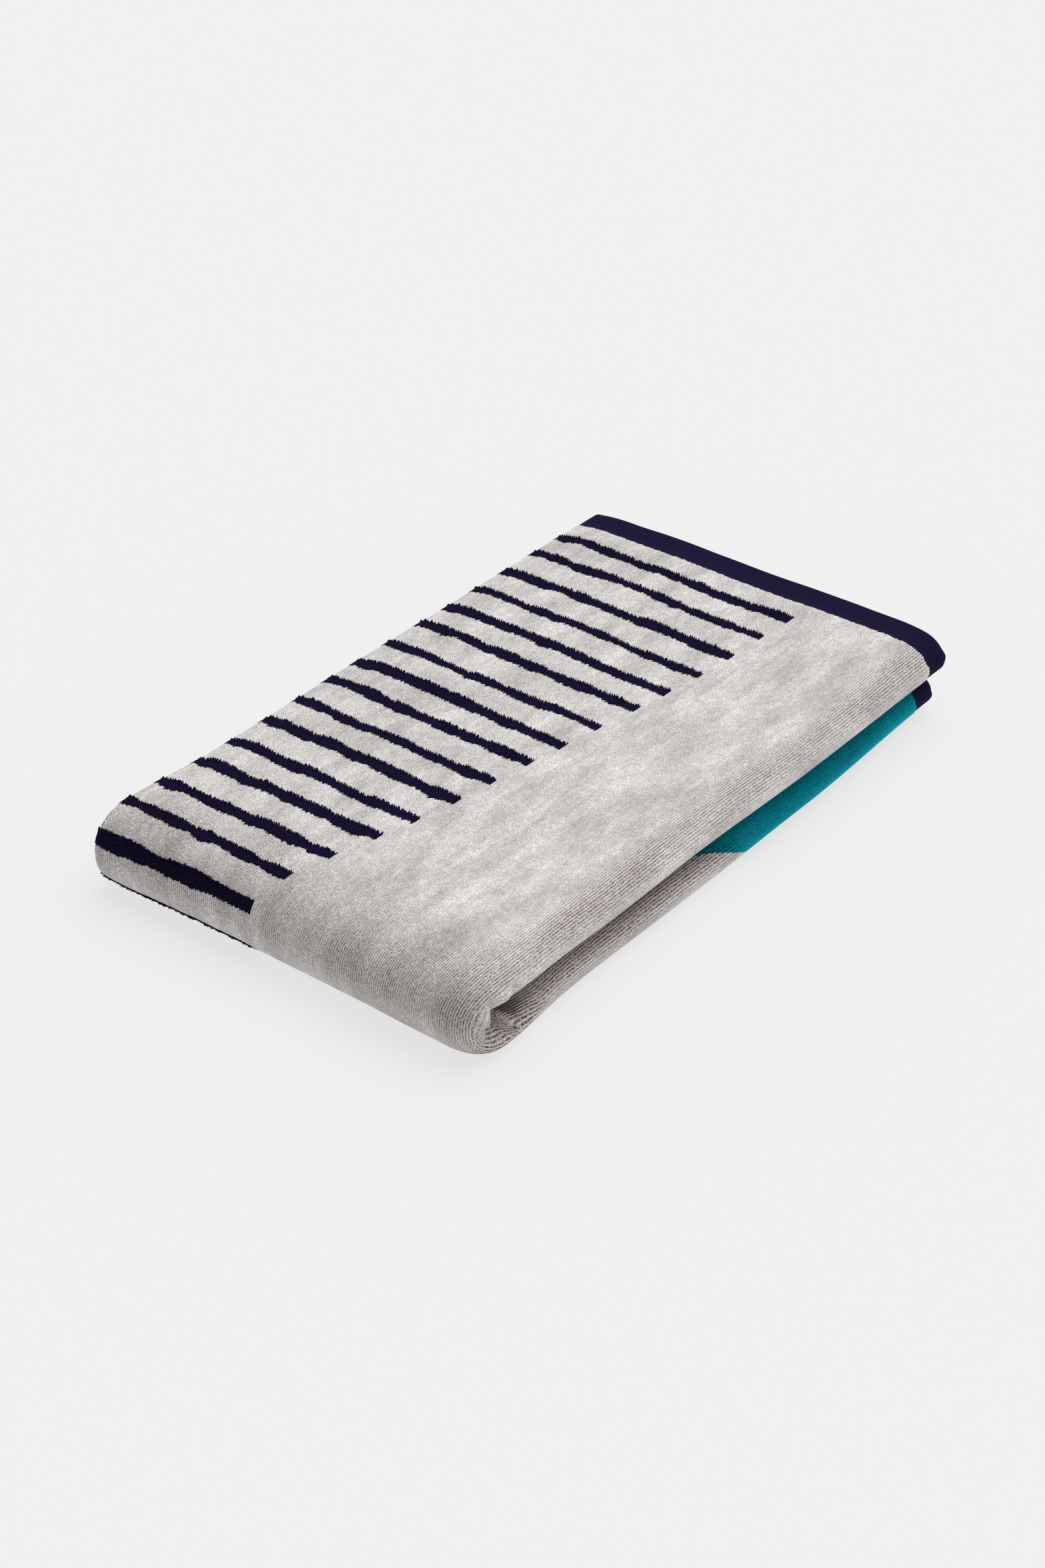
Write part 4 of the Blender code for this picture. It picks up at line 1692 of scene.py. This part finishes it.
    def _face(self, tree: Tree, cloth: Socket, tufts: Socket, opening_and_shade: Socket) -> Socket:
        """Colour the face: clouded by the leaning pile, darker and warmer where it is open, which is partly
        painted shade, and grained.

        Args:
            tree: The node tree.
            cloth: The cloth map, in metres.
            tufts: The tufts' noise.
            opening_and_shade: How far the pile parts, with its painted shade.

        Returns:
            The colour's socket.
        """
        clouds = mapped(tree, self._noise(tree, cloth, self.cloud, detail=5.0), self.cloud_noise)
        leaning = mixed(tree, clouds, linear(self.pile), linear(self.shade))
        # Where the pile is open the face darkens and warms: partly the pile's ground, partly painted shade.
        warmed_and_shaded = mixed(tree, mapped(tree, opening_and_shade, self.warmed_and_shaded), leaning, linear(self.opened_and_shaded))
        grain = mapped(tree, tufts, self.fine_noise, (1.0 - self.grain, 1.0 + self.grain))
        patch = self._noise(tree, cloth, self.patch, detail=2.0)
        patches = mapped(tree, patch, self.fine_noise, (1.0 - self.patches, 1.0 + self.patches))
        dim = maths(tree, "MULTIPLY", grain, patches)
        return add_node(tree, "VectorMath", {0: warmed_and_shaded, 3: dim}, operation="SCALE").outputs[0]

    def _relief(self, tree: Tree, crest: Socket, tufts: Socket, opening_and_shade: Socket) -> Socket:
        """Raise the face's tufts and ribs.

        Args:
            tree: The node tree.
            crest: The ribs' section.
            tufts: The tufts' noise.
            opening_and_shade: How far the pile parts, with its painted shade.

        Returns:
            The raised face's normal.
        """
        bump = {"Strength": 1.0, "Distance": self.tuft_relief * MM, "Height": tufts}
        tuft_normal = add_node(tree, "Bump", bump).outputs[0]
        share = mapped(tree, opening_and_shade, NONE_TO_ALL, (self.closed_relief, 1.0))
        height = maths(tree, "MULTIPLY", crest, share)
        bump = {"Strength": 1.0, "Distance": self.rib_relief * MM, "Height": height, "Normal": tuft_normal}
        return add_node(tree, "Bump", bump).outputs[0]


@dataclass(frozen=True)
class HemBand:
    """The turned hem: a flat, close plain weave of mercerised cotton, smooth and without pile.

    Its crossing threads show as a fine check of slightly uneven tone, darker than the pile of the same dye,
    and it mirrors hardly any light.

    Attributes:
        name: The material's name.
        face: The weave's colour.
        shade: The colour of its darker threads.
        thread: Spacing of the threads in millimetres, coarser than the real 0.3 so that they show.
        patches_per_thread: Patches of one tone for each thread, so about three threads share one.
        patch_noise: The values of the tones' noise at the face's colour and at the shade.
        relief: Height of the threads in the bump, in millimetres.
        matt: The weave's roughness.
        gloss: How much plain light it mirrors.
    """

    name: str = "navy_hem_weave"
    face: str = "#18103B"
    shade: str = "#0F0A24"
    thread: float = 0.7
    patches_per_thread: float = 0.35
    patch_noise: Span = (0.35, 0.65)
    relief: float = 0.06
    matt: float = 0.8
    gloss: float = 0.05

    def build(self) -> bpy.types.Material:
        """Build the material: crossing threads of uneven tone.

        Returns:
            The material.
        """
        material, shader = new_material(self.name, self.matt, self.gloss)
        tree = material.node_tree
        cloth = add_node(tree, "UVMap", uv_map=CLOTH_MAP).outputs["UV"]
        scale = 1 / (self.thread * MM)
        threads = add_node(tree, "Mapping", {"Vector": cloth, "Scale": (scale, scale, 1.0)}).outputs[0]
        weave = add_node(tree, "TexChecker", {"Vector": threads, "Scale": 1.0}).outputs[1]
        tones = {"Vector": threads, "Scale": self.patches_per_thread, "Detail": 3.0}
        patches = add_node(tree, "TexNoise", tones).outputs[0]
        share = mapped(tree, patches, self.patch_noise)
        colour = mixed(tree, share, linear(self.face), linear(self.shade))
        tree.links.new(colour, shader.inputs["Base Color"])
        height = maths(tree, "ADD", weave, patches)
        bump = add_node(tree, "Bump", {"Strength": 1.0, "Distance": self.relief * MM, "Height": height})
        tree.links.new(bump.outputs[0], shader.inputs["Normal"])
        return material


@dataclass(frozen=True)
class LightTable:
    """Opal acrylic, matt and lit from below, as packshots are taken on: it leaves hardly any shadow.

    Attributes:
        name: The material's name.
        colour: The sheet's colour.
        glow: How strongly it glows.
        matt: Its roughness.
    """

    name: str = "opal_light_table"
    colour: str = "#707070"
    glow: float = 0.695
    matt: float = 0.95

    def build(self) -> bpy.types.Material:
        """Build the material: a matt sheet that glows evenly.

        Returns:
            The material.
        """
        material, shader = new_material(self.name, self.matt, gloss=0.0)
        shader.inputs["Base Color"].default_value = linear(self.colour)
        shader.inputs["Emission Color"].default_value = (1.0, 1.0, 1.0, 1.0)
        shader.inputs["Emission Strength"].default_value = self.glow
        return material


# Each velour's depth colour paints shade in its grooves, and its opened colour is a darker, warmer face for
# open pile, partly painted shade.
GREY_VELOUR = Velour(name="grey_velour", pile="#E0DDDB", shade="#B8B4B1", opened_and_shaded="#B6ABA7", depth="#463E3B")
TEAL_VELOUR = Velour(
    name="teal_velour",
    pile="#037583",
    shade="#02606C",
    opened_and_shaded="#025F6B",
    depth="#012B33",
    sheen=0.85,
    bloom="#26E2FF",
    gloss=0.04,
    grain=0.7,
)
NAVY_VELOUR = Velour(
    name="navy_velour",
    pile="#251D4F",
    shade="#120C29",
    opened_and_shaded="#18122F",
    depth="#030207",
    sheen=0.01,
    gloss=0.03,
    grain=0.95,
)


# ---------------------------------------------------------------------------------------------------------
# The studio
# ---------------------------------------------------------------------------------------------------------


@dataclass(frozen=True)
class SoftLight:
    """A broad, far light.

    Attributes:
        name: The light's name.
        towards: The way from the towel to it.
        width: How broad it looks from the towel, in degrees.
        strength: Its strength.
    """

    name: str
    towards: tuple[float, float, float]
    width: float
    strength: float


@dataclass
class Studio:
    """The floor, the lamps and the camera at the photograph's viewing angle.

    Attributes:
        azimuth: The camera's turn round the towel, in degrees.
        elevation: The camera's height above the floor, in degrees.
        distance: From the target to the camera, in metres.
        target: Where the camera looks, in metres.
        lens: The camera's focal length, in millimetres.
        sensor: Height of the camera's sensor, in millimetres.
        view_end: How far the camera sees, in metres.
        floor_size: Width of the floor, in metres.
        floor_drop: How far the floor lies below the towel, so that their faces don't meet.
        sky: Strength of the light that fills the room.
        sky_turn: How much stronger it is on the hems' side, and weaker on the nose's.
        lights: The studio's soft lights.
        light_distance: How far off their lamps are drawn; a far light shines alike from any distance.
    """

    azimuth: float = -51.63
    elevation: float = 33.385
    distance: float = 2.0315
    target: tuple[float, float, float] = (-0.0282, -0.0073, 0.028)
    lens: float = 73.5
    sensor: float = 36.0
    view_end: float = 50.0
    floor_size: float = 30.0
    floor_drop: float = 0.05 * MM
    sky: float = 0.66
    sky_turn: float = 0.30
    lights: tuple[SoftLight, ...] = (SoftLight("overhead_softbox", (0.42, -0.10, 0.90), 55.0, 1.58),)
    light_distance: float = 2.0

    def build(self) -> None:
        """Build the studio and make its camera the scene's."""
        self._floor()
        self._sky()
        for light in self.lights:
            self._light(light)
        self._camera()
        bpy.context.scene.view_settings.view_transform = "Standard"

    def _floor(self) -> None:
        """Lay the pale floor."""
        half = self.floor_size / 2
        corners = [(-half, -half, 0.0), (half, -half, 0.0), (half, half, 0.0), (-half, half, 0.0)]
        data = bpy.data.meshes.new("floor")
        data.from_pydata(corners, [], [(0, 1, 2, 3)])
        data.materials.append(LightTable().build())
        floor = new_object("floor", data)
        floor.location.z = -self.floor_drop

    def _sky(self) -> None:
        """Fill the room with a weak light that is stronger on the hems' side than on the nose's."""
        world = bpy.data.worlds.new("studio_room")
        world.use_nodes = True
        tree = world.node_tree
        background = tree.nodes["Background"]
        background.inputs["Color"].default_value = (1.0, 1.0, 1.0, 1.0)
        way = add_node(tree, "SeparateXYZ", {0: add_node(tree, "TexCoord").outputs["Generated"]}).outputs[0]
        strength = mapped(tree, way, (-1.0, 1.0), (self.sky - self.sky_turn, self.sky + self.sky_turn))
        tree.links.new(strength, background.inputs["Strength"])
        bpy.context.scene.world = world

    def _light(self, soft: SoftLight) -> None:
        """Hang one soft light, facing the towel.

        Args:
            soft: The light.
        """
        data = bpy.data.lights.new(soft.name, "SUN")
        data.angle = math.radians(soft.width)
        data.energy = soft.strength
        light = new_object(soft.name, data)
        light.location = Vector(soft.towards) * self.light_distance
        light.rotation_euler = Vector(soft.towards).to_track_quat("Z", "Y").to_euler()

    def _camera(self) -> None:
        """Stand the camera at its angle and distance from the target."""
        data = bpy.data.cameras.new("camera")
        data.lens, data.sensor_width, data.sensor_height = self.lens, self.sensor, self.sensor
        data.sensor_fit = "VERTICAL"
        data.clip_end = self.view_end
        turn, rise = math.radians(self.azimuth), math.radians(self.elevation)
        back = Vector((math.sin(turn) * math.cos(rise), -math.cos(turn) * math.cos(rise), math.sin(rise)))
        camera = new_object("camera", data)
        camera.location = Vector(self.target) + back * self.distance
        camera.rotation_euler = back.to_track_quat("Z", "Y").to_euler()
        bpy.context.scene.camera = camera


# ---------------------------------------------------------------------------------------------------------
# The whole
# ---------------------------------------------------------------------------------------------------------


def seat_in_frame(shape: FoldShape, cloth: TowelCloth) -> None:
    """Move the shape's origin so that the cloth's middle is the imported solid's.

    Args:
        shape: The folded shape, whose origin moves.
        cloth: The cloth on that shape.
    """
    points = cloth.grid()[0].reshape(-1, 3)
    low, high = (np.array(corner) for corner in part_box(NODE))
    middle = (points.min(axis=0) + points.max(axis=0)) / 2
    shape.origin = tuple((low + high)[:2] / 2 - middle[:2]) + (0.0,)


def main() -> None:
    """Build the towel and its studio, and report each piece."""
    logging.basicConfig(level=logging.INFO, format="%(name)s: %(message)s")
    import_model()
    shape = FoldShape()
    line, ribs = Route(shape), Ribs()
    teal_field = TealField(line)
    opening = PileOpeningAndShade(line, teal_field)
    cloth = TowelCloth(shape, line, ribs, opening, teal_field)
    seat_in_frame(shape, cloth)

    towel = cloth.build()
    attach(towel, BODY)
    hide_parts(NODE)
    LOG.info("cloth: %d faces", len(towel.data.polygons))

    stripes = NavyStripes(shape, line, ribs, opening).build()
    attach(stripes, BODY)
    LOG.info("stripes: %d faces", len(stripes.data.polygons))

    Studio().build()


if __name__ == "__main__":
    main()
